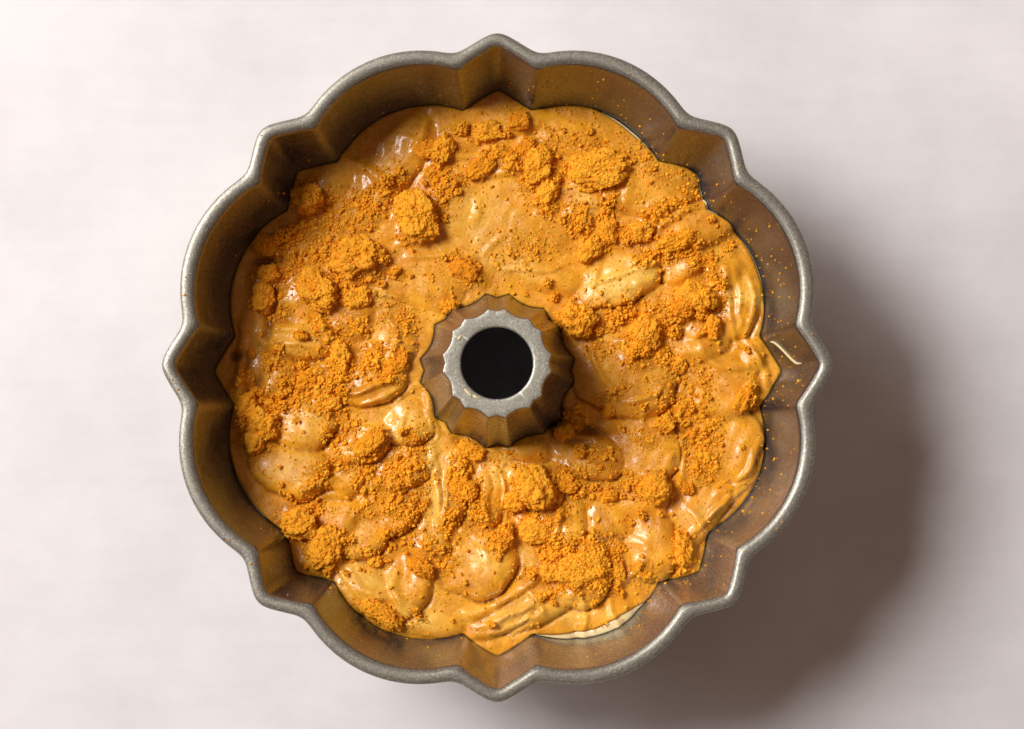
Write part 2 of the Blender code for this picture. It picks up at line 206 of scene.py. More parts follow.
# The clumps, in the order of the frame's lumps: length, width, bearing of the length, height, and how
# far the middle stands above the batter as a share of half the height. Sizes are in mm.
CLUMPS = [
    (12, 11, 20, 10, 0.75), (19, 15, 25, 8, 0.5), (19, 13, 322, 8, 0.5), (20, 16, 115, 9, 0.5),
    (13, 9, 60, 7, 0.5), (25, 16, 5, 9, 0.5), (15, 11, 80, 7, 0.5), (14, 12, 320, 11, 0.55),
    (14, 12, 60, 9, 0.5), (15, 11, 330, 9, 0.5), (18, 14, 300, 10, 0.55), (13, 12, 40, 9, 0.6),
    (19, 14, 20, 5, 0.1), (14, 13, 0, 11, 0.55), (17, 12, 75, 6, 0.5), (18, 7, 332, 7, 0.7),
    (15, 7, 95, 9, 0.5), (13, 12, 80, 9, 0.6), (12, 9, 80, 7, 0.5), (9, 7, 30, 6, 0.4),
]

# Smaller clumps without a lump in the frame: x, y, length, width, bearing of the length, height, in mm.
SMALL_CLUMPS = [
    (-5, 101, 13, 9, 10, 6), (-7, 86, 14, 8, 40, 6), (-30, 93, 8, 8, 0, 6), (9, 105, 9, 8, 0, 5),
    (21, 75, 11, 8, 70, 6), (12, 94, 9, 7, 40, 5), (-14, 42, 13, 8, 330, 6), (-59, 30, 12, 9, 20, 6),
    (39, 51, 13, 8, 45, 6), (46, 59, 8, 12, 10, 6), (60, 58, 10, 9, 0, 7), (75, 54, 15, 8, 20, 6),
    (77, 26, 9, 8, 0, 6), (90, 18, 6, 10, 0, 6), (75, 2, 8, 7, 0, 5), (7, -55, 9, 8, 0, 7),
    (28, -26, 8, 7, 30, 6), (-11, -33, 12, 7, 330, 6), (-14, -49, 12, 9, 320, 6),
    (-32, -82, 11, 7, 330, 6), (-51, -79, 6, 6, 0, 5), (-101, -30, 8, 9, 0, 7), (-104, -15, 8, 11, 0, 7),
    (15, -67, 12, 10, 0, 6), (29, -47, 9, 8, 0, 6), (79, -49, 6, 5, 0, 5), (47, -52, 6, 5, 0, 5),
    (102, -12, 6, 11, 330, 6), (-53, -30, 15, 8, 45, 5), (-42, 2, 10, 7, 20, 6), (-66, 6, 8, 14, 10, 6),
    (-20, 27, 8, 6, 0, 5), (-83, -65, 8, 9, 0, 7), (26, 21, 6, 6, 0, 6), (60, 9, 8, 6, 300, 5),
    (22, -84, 9, 8, 20, 6), (-97, 53, 9, 9, 0, 5), (-96, 41, 9, 7, 350, 5), (34, -16, 5, 4, 0, 4),
    (46, -17, 6, 5, 40, 5), (50, -84, 6, 9, 0, 5), (-69, -14, 8, 6, 20, 5), (-80, -4, 9, 7, 30, 5),
    (2, -70, 10, 6, 20, 5),
]

# Gaps between the dollops, down into the shade: x, y, length, width, bearing of the length, depth, in mm.
DIPS = [
    (25, -20, 12, 9, 330, 9.0), (37, -25, 16, 5, 345, 3.0), (33, -30, 12, 4, 350, 2.0),
    (-97, 46, 13, 3.5, 8, 3.5), (-96, 34, 10, 5, 350, 3.0), (-95, 20, 18, 4, 80, 2.5),
    (-109, 6, 5, 4, 0, 3.5), (-88, 24, 5, 9, 20, 1.5), (-101, -6, 10, 5, 60, 2.5),
    (-99, -24, 12, 4, 75, 2.0), (-82, -74, 6, 10, 20, 2.0), (-16, -30, 8, 4, 330, 1.5),
]

# Where paler, creamier batter lies on top, partly as a painted highlight: x, y, length, width, bearing of
# the length, share.
CREAM_AND_HIGHLIGHT_PATCHES = [
    (52, 38, 34, 13, 20, 1.0), (36, 70, 8, 18, 10, 1.0), (103, 30, 5, 20, 85, 0.8),
    (-27, -48, 9, 38, 0, 1.0), (-18, -47, 9, 18, 0, 0.8), (2, -42, 14, 12, 0, 0.8),
    (-54, -86, 20, 12, 330, 0.7), (-32, -102, 22, 10, 350, 0.7), (8, -102, 20, 12, 30, 0.6),
    (30, -100, 24, 10, 5, 0.7), (-84, -38, 14, 14, 0, 0.4), (-80, -22, 16, 14, 0, 0.5),
    (-84, 14, 14, 8, 0, 0.6), (-49, 45, 9, 7, 0, 1.0), (-50, 31, 9, 8, 0, 0.9), (-64, 52, 16, 6, 20, 0.7),
    (-8, 64, 30, 22, 320, 0.5), (-6, 88, 12, 7, 340, 0.7), (-40, -24, 16, 16, 40, 0.7),
    (-56, -34, 14, 12, 0, 0.5), (-5, -78, 12, 10, 0, 0.7), (12, -78, 8, 10, 0, 0.5),
    (84, -60, 10, 8, 30, 0.5), (30, -22, 10, 6, 0, 0.4), (8, 44, 34, 9, 345, 0.5),
]


# ---- Shape of the casting ---------------------------------------------------------------------

def floor_arc():
    """Centre radius, centre height and radius of the arc that joins the wall line to the tube line."""
    wall_reach = 1 / math.cos(WALL_DRAFT) - math.tan(WALL_DRAFT)
    tube_reach = 1 / math.cos(TUBE_DRAFT) - math.tan(TUBE_DRAFT)
    wall_at_floor = RIM_RADIUS - (RIM_HEIGHT - FLOOR_HEIGHT) * math.tan(WALL_DRAFT)
    tube_at_floor = TUBE_RADIUS + (TUBE_HEIGHT - FLOOR_HEIGHT) * math.tan(TUBE_DRAFT)
    radius = (wall_at_floor - tube_at_floor) / (wall_reach + tube_reach)
    return tube_at_floor + radius * tube_reach, FLOOR_HEIGHT + radius, radius


ARC_CENTRE, ARC_HEIGHT, ARC_RADIUS = floor_arc()
WALL_FOOT = ARC_HEIGHT - ARC_RADIUS * math.sin(WALL_DRAFT)
TUBE_FOOT = ARC_HEIGHT - ARC_RADIUS * math.sin(TUBE_DRAFT)


def flute(turn, station):
    """(bearing in radians, depth behind the valley lines) at turn, which runs 0 to 1 round the pan.

    station is 0 at the rim, 1 at the wall's foot, 2 on the floor, 3 at the tube's foot, 4 at its top.
    """
    half_pair = 180 / PAIRS
    rim_half = PEAK_HALF_ANGLES[0]
    stations = range(5)
    peak_half = np.interp(station, stations, PEAK_HALF_ANGLES)
    degrees = turn * 360
    centre = np.round(degrees / (2 * half_pair)) * 2 * half_pair
    side, offset = np.sign(degrees - centre), np.abs(degrees - centre)
    in_peak = offset <= rim_half
    peak_share = offset / rim_half
    lobe_share = (half_pair - offset) / (half_pair - rim_half)
    bearing = np.where(in_peak, peak_share * peak_half, half_pair - lobe_share * (half_pair - peak_half))
    peak_depth = np.interp(station, stations, PEAK_DEPTHS) * (1 - peak_share)
    lobe_depth = np.interp(station, stations, LOBE_DEPTHS) * (1 - lobe_share**2)
    return np.radians(centre + side * bearing), np.where(in_peak, peak_depth, lobe_depth)


def wall_at(turn, height, gap=0.0):
    """(radius, bearing) of the trough's outer wall at a height; gap is towards the axis."""
    bearing, depth = flute(turn, (RIM_HEIGHT - height) / (RIM_HEIGHT - WALL_FOOT))
    return RIM_RADIUS - (RIM_HEIGHT - height) * math.tan(WALL_DRAFT) + depth - gap, bearing


def tube_at(turn, height, gap=0.0):
    """(radius, bearing) of the centre tube's outside at a height; gap is away from the axis."""
    bearing, depth = flute(turn, 3 + (height - TUBE_FOOT) / (TUBE_HEIGHT - TUBE_FOOT))
    return TUBE_RADIUS + (TUBE_HEIGHT - height) * math.tan(TUBE_DRAFT) - depth + gap, bearing


def placed(radius, bearing, height):
    """Points from cylindrical coordinates, as an array of x, y, z rows."""
    x = radius * np.cos(bearing)
    return np.stack([x, radius * np.sin(bearing), np.broadcast_to(height, x.shape)], axis=-1)


def wall_row(turn, height, gap=0.0):
    """A row of points on the trough's outer wall."""
    radius, bearing = wall_at(turn, height, gap)
    return placed(radius, bearing, height)


def tube_row(turn, height, gap=0.0):
    """A row of points on the centre tube."""
    radius, bearing = tube_at(turn, height, gap)
    return placed(radius, bearing, height)


def floor_row(turn, share, gap=0.0):
    """A row on the trough's floor: share runs from 0 at the wall's foot to 1 at the tube's foot."""
    angle = WALL_DRAFT + share * (math.pi - WALL_DRAFT - TUBE_DRAFT)
    push = share * math.pi
    bearing, depth = flute(turn, 1 + 2 * share)
    out = depth - gap
    radius = ARC_CENTRE + ARC_RADIUS * math.cos(angle) + out * math.cos(push)
    height = ARC_HEIGHT - ARC_RADIUS * math.sin(angle) - out * math.sin(push)
    return placed(radius, bearing, height)


def soften(row, passes):
    """Rounds the corners of a closed row of points."""
    for _ in range(passes):
        row = (np.roll(row, 1, axis=0) + 2 * row + np.roll(row, -1, axis=0)) / 4
    return row


def new_mesh(name, points, faces):
    """A mesh from an array of points and an array of equal faces."""
    mesh = bpy.data.meshes.new(name)
    mesh.from_pydata(points.tolist(), [], faces.tolist())
    return mesh


def ring_mesh(name, rows):
    """A smooth closed mesh from equal rows of points round the axis; the last row joins the first."""
    grid = np.array(rows)
    count, around = grid.shape[:2]
    index = np.arange(count * around).reshape(count, around)
    low, high = index, np.roll(index, -1, axis=0)
    faces = np.stack([low, high, np.roll(high, -1, axis=1), np.roll(low, -1, axis=1)], axis=-1)
    mesh = new_mesh(name, grid.reshape(-1, 3), faces.reshape(-1, 4))
    bm = bmesh.new()
    bm.from_mesh(mesh)
    bmesh.ops.recalc_face_normals(bm, faces=bm.faces)
    bm.to_mesh(mesh)
    bm.free()
    mesh.shade_smooth()
    return mesh


# ---- Node helpers -----------------------------------------------------------------------------

# Radius at which marks that run round the pan have their true length.
MARK_RADIUS = 0.1


class Nodes:
    """Short calls for building a material's node tree. A colour is red, green and blue, or a socket."""

    def __init__(self, name):
        self.material = bpy.data.materials.new(name)
        self.material.use_nodes = True
        self.tree = self.material.node_tree
        self.shader = self.tree.nodes["Principled BSDF"]
        self.place = self.add("ShaderNodeTexCoord").outputs["Object"]

    def add(self, kind, **settings):
        """A new node with some of its settings."""
        node = self.tree.nodes.new(kind)
        for key, value in settings.items():
            setattr(node, key, value)
        return node

    def set(self, socket, value):
        """Gives a socket a value, or links it to another socket."""
        if isinstance(value, bpy.types.NodeSocket):
            self.tree.links.new(value, socket)
        else:
            socket.default_value = value

    def fill(self, node, **inputs):
        """Sets a node's inputs but those given as None; underscores in a name stand for spaces."""
        for name, value in inputs.items():
            if value is not None:
                self.set(node.inputs[name.replace("_", " ")], value)

    def noise(self, size, detail=2.0, roughness=0.5, place=None, distortion=0.0):
        """Noise whose blobs are about size metres wide, from 0 to 1."""
        node = self.add("ShaderNodeTexNoise")
        self.fill(node, Vector=place or self.place, Scale=1 / size, Detail=detail, Roughness=roughness,
                  Distortion=distortion)
        return node.outputs["Fac"]

    def cells(self, size, output="Distance"):
        """Cells about size metres wide: the distance to a cell's middle, or its random colour."""
        node = self.add("ShaderNodeTexVoronoi")
        self.fill(node, Vector=self.place, Scale=1 / size)
        return node.outputs[output]

    def math(self, operation, a, b=0.0):
        node = self.add("ShaderNodeMath", operation=operation)
        self.set(node.inputs[0], a)
        self.set(node.inputs[1], b)
        return node.outputs[0]

    def times(self, a, b):
        return self.math("MULTIPLY", a, b)

    def plus(self, a, b):
        return self.math("ADD", a, b)

    def rest(self, share):
        """What a share leaves of 1."""
        return self.math("SUBTRACT", 1.0, share)

    def spread(self, value, low, high, new_low=0.0, new_high=1.0):
        """Maps low..high to new_low..new_high, clamped."""
        node = self.add("ShaderNodeMapRange")
        for socket, number in zip(node.inputs, (value, low, high, new_low, new_high)):
            self.set(socket, number)
        return node.outputs["Result"]

    def mix(self, share, a, b):
        """Colour a where share is 0, colour b where it is 1."""
        node = self.add("ShaderNodeMix", data_type="RGBA")
        self.set(node.inputs["Factor"], share)
        # The node's colour sockets are inputs 6 and 7 and output 2.
        for socket, colour in zip(node.inputs[6:8], (a, b)):
            self.set(socket, (*colour, 1) if isinstance(colour, tuple) else colour)
        return node.outputs[2]

    def parts(self, vector):
        """The x, y and z of a vector."""
        split = self.add("ShaderNodeSeparateXYZ")
        self.set(split.inputs[0], vector)
        return tuple(split.outputs)

    def geometry(self, output):
        return self.add("ShaderNodeNewGeometry").outputs[output]

    def attribute(self, name):
        return self.add("ShaderNodeAttribute", attribute_name=name).outputs["Fac"]

    def radius(self, x, y):
        """Distance from the pan's axis."""
        return self.math("SQRT", self.plus(self.times(x, x), self.times(y, y)))

    def around(self, stretch_around, stretch_up):
        """Coordinates of length along the bearing, radius and height, stretched for brushed marks."""
        x, y, z = self.parts(self.place)
        bearing = self.math("ARCTAN2", y, x)
        radius = self.radius(x, y)
        joined = self.add("ShaderNodeCombineXYZ")
        self.fill(joined, X=self.times(bearing, MARK_RADIUS / stretch_around), Y=radius,
                  Z=self.times(z, 1 / stretch_up))
        return joined.outputs[0]

    def bump(self, height, distance, strength=1.0, under=None):
        """A normal from a height, on top of another bump's normal."""
        node = self.add("ShaderNodeBump")
        self.fill(node, Strength=strength, Distance=distance, Height=height, Normal=under)
        return node.outputs[0]

    def finish(self, **inputs):
        """Sets the shader's inputs and gives the finished material."""
        self.fill(self.shader, **inputs)
        return self.material


# ---- Materials --------------------------------------------------------------------------------

def coated_metal():
    """Cast aluminium under a sparkling grey coat.

    It is glossy on the trough's walls, and paler and satin on the lip, the tube's ring and the outside.
    The ring is painted paler than the lip as a painted highlight, with a painted highlight on its edges;
    the walls get a painted reflection towards the lower right and painted shade at the right.
    """
    n = Nodes("coated_metal")
    sparkle = n.cells(0.5 * MM, "Color")
    grain = n.noise(0.6 * MM, detail=3)
    wear = n.noise(22 * MM, detail=5, roughness=0.65)
    strokes = n.noise(0.5 * MM, detail=3, place=n.around(26, 1.0))
    upright = n.noise(0.6 * MM, detail=2, place=n.around(1.0, 30))
    smears = n.noise(9 * MM, detail=5, roughness=0.7, distortion=1.5)
    fleck = n.times(n.spread(sparkle, 0.25, 0.95), n.spread(grain, 0.35, 0.7))

    facing_x, facing_y, facing_z = n.parts(n.geometry("True Normal"))
    x, y, z = n.parts(n.place)
    reach = n.radius(x, y)
    outwards = n.plus(n.times(x, facing_x), n.times(y, facing_y))
    outside = n.times(n.spread(outwards, 0, 12 * MM), n.spread(reach, 60 * MM, 66 * MM))
    high = n.spread(z, RIM_HEIGHT - 6 * MM, RIM_HEIGHT - 4 * MM)
    satin = n.math("MAXIMUM", n.times(n.spread(facing_z, 0.30, 0.75), high), outside)
    on_ring = n.spread(reach, 26 * MM, 24 * MM)

    def at_bearing(bearing, low, high):
        """Share, 0 to 1, that rises towards a bearing; low and high are cosines of the angle off it."""
        bearing = math.radians(bearing)
        along = n.plus(n.times(x, math.cos(bearing)), n.times(y, math.sin(bearing)))
        return n.spread(n.math("DIVIDE", along, reach), low, high)

    lip = n.mix(fleck, (0.26, 0.24, 0.19), (0.70, 0.665, 0.57))
    lip = n.mix(n.spread(wear, 0.42, 0.75, 0, 0.3), lip, (0.29, 0.27, 0.215))
    # The tube's ring is painted paler than the lip: a painted highlight on the same metal.
    painted_lit_ring = n.mix(fleck, (0.36, 0.34, 0.27), (0.80, 0.77, 0.66))
    lip = n.mix(on_ring, lip, painted_lit_ring)
    # Painted highlight along the ring's edges and the rim of its hole.
    painted_edge_highlight = n.times(n.spread(n.geometry("Pointiness"), 0.52, 0.58, 0, 0.8), on_ring)
    lip = n.mix(painted_edge_highlight, lip, (0.95, 0.93, 0.86))
    wall = n.mix(fleck, (0.158, 0.169, 0.185), (0.32, 0.338, 0.36))
    streaky = n.spread(upright, 0.3, 0.7, 0.35, 1.0)
    # Painted reflection, streaky, on the walls towards the lower right.
    painted_reflection = n.times(n.times(at_bearing(-62, 0.60, 0.88), streaky), n.spread(reach, 70 * MM, 90 * MM))
    wall = n.mix(n.times(painted_reflection, 0.62), wall, (0.60, 0.58, 0.50))
    # Painted shade on the wall at the right.
    wall = n.mix(n.times(at_bearing(4, 0.90, 0.98), 0.6), wall, (0.12, 0.12, 0.12))
    wall = n.mix(n.spread(smears, 0.5, 0.75, 0, 0.5), wall, (0.27, 0.265, 0.26))

    rough_lip = n.spread(wear, 0.3, 0.7, 0.38, 0.46)
    rough_wall = n.spread(smears, 0.35, 0.7, 0.20, 0.34)
    rough = n.plus(n.times(rough_lip, satin), n.times(rough_wall, n.rest(satin)))
    brushed = n.bump(strokes, 0.10 * MM, 0.25)
    brushed = n.bump(upright, 0.10 * MM, 0.3, under=brushed)
    cast = n.bump(n.noise(1.2 * MM, detail=4), 0.12 * MM, 0.35, under=brushed)
    flecked = n.bump(sparkle, 0.05 * MM, n.plus(0.15, n.times(satin, 0.4)), under=cast)
    metallic = n.math("SUBTRACT", 0.82, n.times(satin, 0.2))
    return n.finish(Base_Color=n.mix(satin, wall, lip), Metallic=metallic, Roughness=rough, Normal=flecked)


def spiced_batter():
    """Glossy caramel batter with spice specks and bubbles; crumb dust clings where the cover is high."""
    n = Nodes("spiced_batter_gloss")
    patches = n.noise(16 * MM, detail=3, distortion=1.2)
    creamy = n.noise(24 * MM, detail=4, roughness=0.6, distortion=2.0)
    streaks = n.noise(4 * MM, detail=4, roughness=0.6, distortion=2.5)
    specks = n.noise(0.7 * MM, detail=2)
    colour = n.mix(n.spread(patches, 0.35, 0.65), (0.69, 0.262, 0.008), (0.92, 0.392, 0.014))
    colour = n.mix(n.spread(creamy, 0.50, 0.68, 0, 0.45), colour, (0.97, 0.52, 0.045))
    colour = n.mix(n.spread(streaks, 0.52, 0.75, 0, 0.5), colour, (0.98, 0.55, 0.055))
    colour = n.mix(n.spread(specks, 0.64, 0.8, 0, 0.5), colour, (0.66, 0.22, 0.006))
    # Paler batter where the patches lie, partly a painted highlight.
    cream_and_highlight = n.times(n.attribute("cream_and_highlight"), n.spread(streaks, 0.25, 0.6, 0.35, 1.0))
    colour = n.mix(n.times(cream_and_highlight, 0.8), colour, (1.0, 0.66, 0.13))
    # Painted shade down in the gaps between the dollops.
    colour = n.mix(n.times(n.attribute("gap"), 0.8), colour, (0.20, 0.055, 0.003))

    crumbly = n.noise(1.3 * MM, detail=4, roughness=0.7)
    dust = n.spread(n.plus(n.times(n.attribute("dust"), 0.55), crumbly), 0.60, 0.78)
    orange = n.mix(n.spread(crumbly, 0.35, 0.7), (0.74, 0.25, 0.004), (0.98, 0.41, 0.010))
    colour = n.mix(dust, colour, orange)
    # Painted shade in the creases and hollows of the batter.
    painted_hollow_shade = n.spread(n.geometry("Pointiness"), 0.48, 0.43, 0, 0.6)
    colour = n.mix(painted_hollow_shade, colour, (0.24, 0.065, 0.003))

    rough = n.plus(n.spread(n.noise(7 * MM, detail=3), 0.3, 0.7, 0.34, 0.5), n.times(dust, 0.4))
    skin = n.bump(n.noise(2.4 * MM, detail=4, distortion=1.0), 0.55 * MM, 0.4)
    pits = n.spread(n.noise(30 * MM), 0.45, 0.6, 0.15, 0.9)
    skin = n.bump(n.noise(1.1 * MM, detail=2), 0.25 * MM, pits, under=skin)
    skin = n.bump(n.times(dust, crumbly), 0.8 * MM, 0.8, under=skin)
    wet = n.spread(n.noise(28 * MM, detail=2), 0.42, 0.62, 0.12, 0.55)
    coat = n.times(n.plus(wet, n.times(cream_and_highlight, 0.3)), n.rest(dust))
    return n.finish(Base_Color=colour, Roughness=rough, Normal=skin, Subsurface_Weight=0.2,
                    Subsurface_Radius=(1.0, 0.42, 0.10), Subsurface_Scale=2.0 * MM,
                    Specular_IOR_Level=0.4, Coat_Weight=coat, Coat_Roughness=0.15)


def plain_batter():
    """Pale, glossy batter with soft colour changes."""
    n = Nodes("plain_batter_gloss")
    patches = n.noise(6 * MM, detail=4, distortion=1.0)
    colour = n.mix(n.spread(patches, 0.3, 0.7), (0.80, 0.58, 0.27), (0.88, 0.70, 0.40))
    skin = n.bump(n.noise(1.6 * MM, detail=4), 0.4 * MM, 0.3)
    return n.finish(Base_Color=colour, Roughness=0.3, Normal=skin, Subsurface_Weight=0.25,
                    Subsurface_Radius=(1.0, 0.6, 0.3), Subsurface_Scale=2.0 * MM)


def sugar_crumb(name, dark, middle, light, hollow_shade, glow):
    """Moist brown-sugar crumb with fine grit; each grain has its own shade of orange.

    The fifth argument is how far the hollows between grains are darkened as painted shade, and glow is how
    much light passes through.
    """
    n = Nodes(name)
    tone = n.plus(n.times(n.geometry("Random Per Island"), 0.5), n.times(n.noise(1.3 * MM, detail=3), 0.7))
    colour = n.mix(n.spread(tone, 0.3, 0.65), dark, middle)
    colour = n.mix(n.spread(tone, 0.65, 0.95), colour, light)
    colour = n.mix(n.spread(n.noise(26 * MM), 0.4, 0.7, 0, 0.3), colour, dark)
    # Painted shade in the hollows between grains.
    painted_hollow_shade = n.spread(n.geometry("Pointiness"), 0.47, 0.40, 0, hollow_shade)
    colour = n.mix(painted_hollow_shade, colour, (0.42, 0.10, 0.003))
    grit = n.bump(n.cells(0.6 * MM), 0.3 * MM, 0.6)
    grit = n.bump(n.noise(0.35 * MM, detail=3), 0.2 * MM, 0.6, under=grit)
    return n.finish(Base_Color=colour, Roughness=0.8, Normal=grit, Specular_IOR_Level=0.3,
                    Subsurface_Weight=glow, Subsurface_Radius=(1.0, 0.4, 0.05), Subsurface_Scale=0.7 * MM)


def pale_plaster():
    """The plain pale floor: cloudy, faintly brushed, with a few small flecks and a painted falloff of light
    that darkens it away from the lamps.
    """
    n = Nodes("pale_plaster")
    cloud = n.noise(0.10, detail=7, roughness=0.62)
    brushed = n.add("ShaderNodeMapping")
    n.fill(brushed, Vector=n.place, Rotation=(0, 0, math.radians(24)), Scale=(1, 9, 1))
    strokes = n.noise(0.06, detail=5, roughness=0.6, place=brushed.outputs[0])
    flecks = n.noise(7 * MM, detail=3, roughness=0.7)
    x, y, _ = n.parts(n.place)
    # Painted falloff of the light across the floor, darker away from the lamps.
    painted_falloff = n.math("SUBTRACT", n.times(y, 0.35), n.times(x, 0.20))
    tone = n.plus(n.plus(n.times(cloud, 0.86), n.times(strokes, 0.14)), painted_falloff)
    colour = n.mix(n.spread(tone, 0.35, 0.68), (0.72, 0.69, 0.685), (0.87, 0.84, 0.83))
    colour = n.mix(n.spread(flecks, 0.70, 0.80, 0, 0.35), colour, (0.62, 0.50, 0.40))
    flat = n.bump(n.noise(3 * MM, detail=4), 0.3 * MM, 0.15)
    flat = n.bump(strokes, 0.6 * MM, 0.08, under=flat)
    return n.finish(Base_Color=colour, Roughness=0.62, Normal=flat, Specular_IOR_Level=0.3)


# ---- The pan ----------------------------------------------------------------------------------

def add_object(name, data):
    """A new object that is linked into the scene."""
    obj = bpy.data.objects.new(name, data)
    bpy.context.scene.collection.objects.link(obj)
    return obj


def new_piece(mesh, material, body, slot, *nodes):
    """Adds a piece of the object that rides on a body and may stand for frame nodes."""
    piece = add_object(mesh.name, mesh)
    mesh.materials.append(material)
    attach(piece, body)
    if nodes:
        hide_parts(*nodes)


PAN_COLUMNS = 480
LIP_TOP_START = RIM_HEIGHT - 1.6 * MM
LIP_EDGE_ROUND = 0.9 * MM
LIP_FILLET = 1.8 * MM
RING_ROUND = 0.45 * MM
HOLE_ROUND = 1.1 * MM
HOLE_CHAMFER = 0.3 * MM


def quarter(count):
    """Angles from 0 to 90 degrees, ends included."""
    return np.linspace(0, math.pi / 2, count)


def lip_rows(turn):
    """The lip from its lower outer edge, over its crowned top, to the wall: outside softer than inside."""
    rim, bearing = wall_at(turn, RIM_HEIGHT)
    edge = rim + LIP_WIDTH
    rows = []
    for angle in quarter(4):
        out, down = LIP_EDGE_ROUND * math.sin(angle), LIP_EDGE_ROUND * (1 - math.cos(angle))
        row = placed(edge - LIP_EDGE_ROUND + out, bearing, RIM_HEIGHT - WALL_THICKNESS + down)
        rows.append(soften(row, 7))
    middle = (edge + rim) / 2
    half = LIP_WIDTH / 2
    for angle in np.linspace(0, math.pi, 21)[:-3]:
        across = math.copysign(abs(math.cos(angle)) ** 0.9, math.cos(angle))
        height = LIP_TOP_START + (RIM_HEIGHT - LIP_TOP_START) * math.sin(angle) ** 0.85
        rows.append(soften(placed(middle + half * across, bearing, height), 6 if across > 0 else 3))
    return rows


def trough_rows(turn):
    """The trough's surface from below the lip to below the tube's top."""
    rows = [wall_row(turn, z) for z in np.linspace(RIM_HEIGHT - 1.1 * MM, WALL_FOOT, 25)]
    rows += [floor_row(turn, share) for share in np.linspace(0, 1, 27)[1:]]
    rows += [tube_row(turn, z) for z in np.linspace(TUBE_FOOT, TUBE_HEIGHT - RING_ROUND, 26)[1:]]
    return [soften(row, 1) for row in rows]


def ring_rows(turn):
    """The flat ring on the tube, its crisp outer edge and the rounded edge of its hole."""
    radius, bearing = tube_at(turn, TUBE_HEIGHT)
    rows = []
    for angle in quarter(4)[1:]:
        row = placed(radius - RING_ROUND * (1 - math.cos(angle)),
                     bearing, TUBE_HEIGHT - RING_ROUND * (1 - math.sin(angle)))
        rows.append(soften(row, 1))
    inner = np.full(len(turn), HOLE_RADIUS)
    outer = np.hypot(rows[-1][:, 0], rows[-1][:, 1])
    bearing = np.arctan2(rows[-1][:, 1], rows[-1][:, 0])
    for share in (0.35, 0.7):
        rows.append(placed(outer + share * (inner + HOLE_ROUND - outer), bearing, TUBE_HEIGHT))
    for angle in quarter(6):
        rows.append(placed(inner + HOLE_ROUND * (1 - math.sin(angle)), bearing,
                           TUBE_HEIGHT - HOLE_ROUND * (1 - math.cos(angle))))
    under = TUBE_HEIGHT - WALL_THICKNESS
    rows.append(placed(inner, bearing, under + HOLE_CHAMFER))
    rows.append(placed(inner + HOLE_CHAMFER, bearing, under))
    return rows


def outside_rows(turn):
    """The hidden side: inside the tube, under the floor, up the outer wall to the lip's underside."""
    heights = np.linspace(TUBE_HEIGHT - WALL_THICKNESS, TUBE_FOOT, 16)
    rows = [tube_row(turn, z, -WALL_THICKNESS) for z in heights]
    rows += [floor_row(turn, share, -WALL_THICKNESS) for share in np.linspace(1, 0, 27)[1:]]
    top = RIM_HEIGHT - WALL_THICKNESS - LIP_FILLET
    rows += [wall_row(turn, z, -WALL_THICKNESS) for z in np.linspace(WALL_FOOT, top, 24)[1:]]
    rows = [soften(row, 3) for row in rows]
    for row in rows:
        row[:, 2] = np.maximum(row[:, 2], 0)
    for angle in quarter(4)[1:]:
        height = top + LIP_FILLET * math.sin(angle)
        radius, bearing = wall_at(turn, height, -WALL_THICKNESS)
        row = placed(radius + LIP_FILLET * (1 - math.cos(angle)) * 0.5, bearing, height)
        rows.append(soften(row, 5))
    return rows


def make_pan():
    turn = np.arange(PAN_COLUMNS) / PAN_COLUMNS
    rows = lip_rows(turn) + trough_rows(turn) + ring_rows(turn) + outside_rows(turn)
    new_piece(ring_mesh("pan_shell", rows), coated_metal(), "pan", "coated_aluminium", "pan_casting")


# ---- Batter -----------------------------------------------------------------------------------

BATTER_COLUMNS = 830
BATTER_ROWS = 109

# Where the spiced batter stops short of the wall, so that the plain batter shows: bearing and half
# width in degrees, and how far in mm, on top of the least, which it keeps all round.
PALE_STRIPS = [
    (-70, 14, 3.4), (-63, 6, 1.8), (22, 12, 0.9), (40, 8, 1.0), (-28, 20, 0.7), (62, 9, 1.3), (207, 12, 0.7),
]
LEAST_STRIP = 0.02
STRIP_OVERLAP = 0.15 * MM
CREST_ROUND = 0.4 * MM

# Each dollop rises towards this bearing, away from the light, so its back is lit and its front is in
# shade. It is sunk a little, and a crisp one has a groove along its front.
TILT_BEARING = 322
DOLLOP_SINK = 0.9 * MM
GROOVE_WIDTH = 1.6 * MM

# The batter's edges are rounded off along the wall and the tube. The ring's width is in mm.
RING_WIDTH = 80
EDGE_REACH = 1.4 * MM
EDGE_DROP = 0.35 * MM

# Small folds strewn at random: nearest and farthest from the axis in mm, how many, and the seed.
SMALL_FOLD_REACHES = (40, 104)
SMALL_FOLD_COUNT = 70
SMALL_FOLD_SEED = 23


def turned(dx, dy, angle):
    """Parts of an offset along a direction and across it, to its left."""
    return dx * math.cos(angle) + dy * math.sin(angle), dy * math.cos(angle) - dx * math.sin(angle)


def ripple(x, y, size, seed):
    """Smooth noise between about -1 and 1 at arrays of points, in blobs about size wide.

    Every use has a seed of its own, so that no two patterns are alike.
    """
    flat = zip((x / size).ravel().tolist(), (y / size).ravel().tolist())
    values = [noise.noise((a, b, seed)) for a, b in flat]
    return np.array(values).reshape(x.shape)


def wobbled(x, y, amount, size, seed):
    """The points moved aside by noise, so that a regular outline looks natural."""
    return x + amount * ripple(x, y, size, seed), y + amount * ripple(x, y, size, seed + 6)


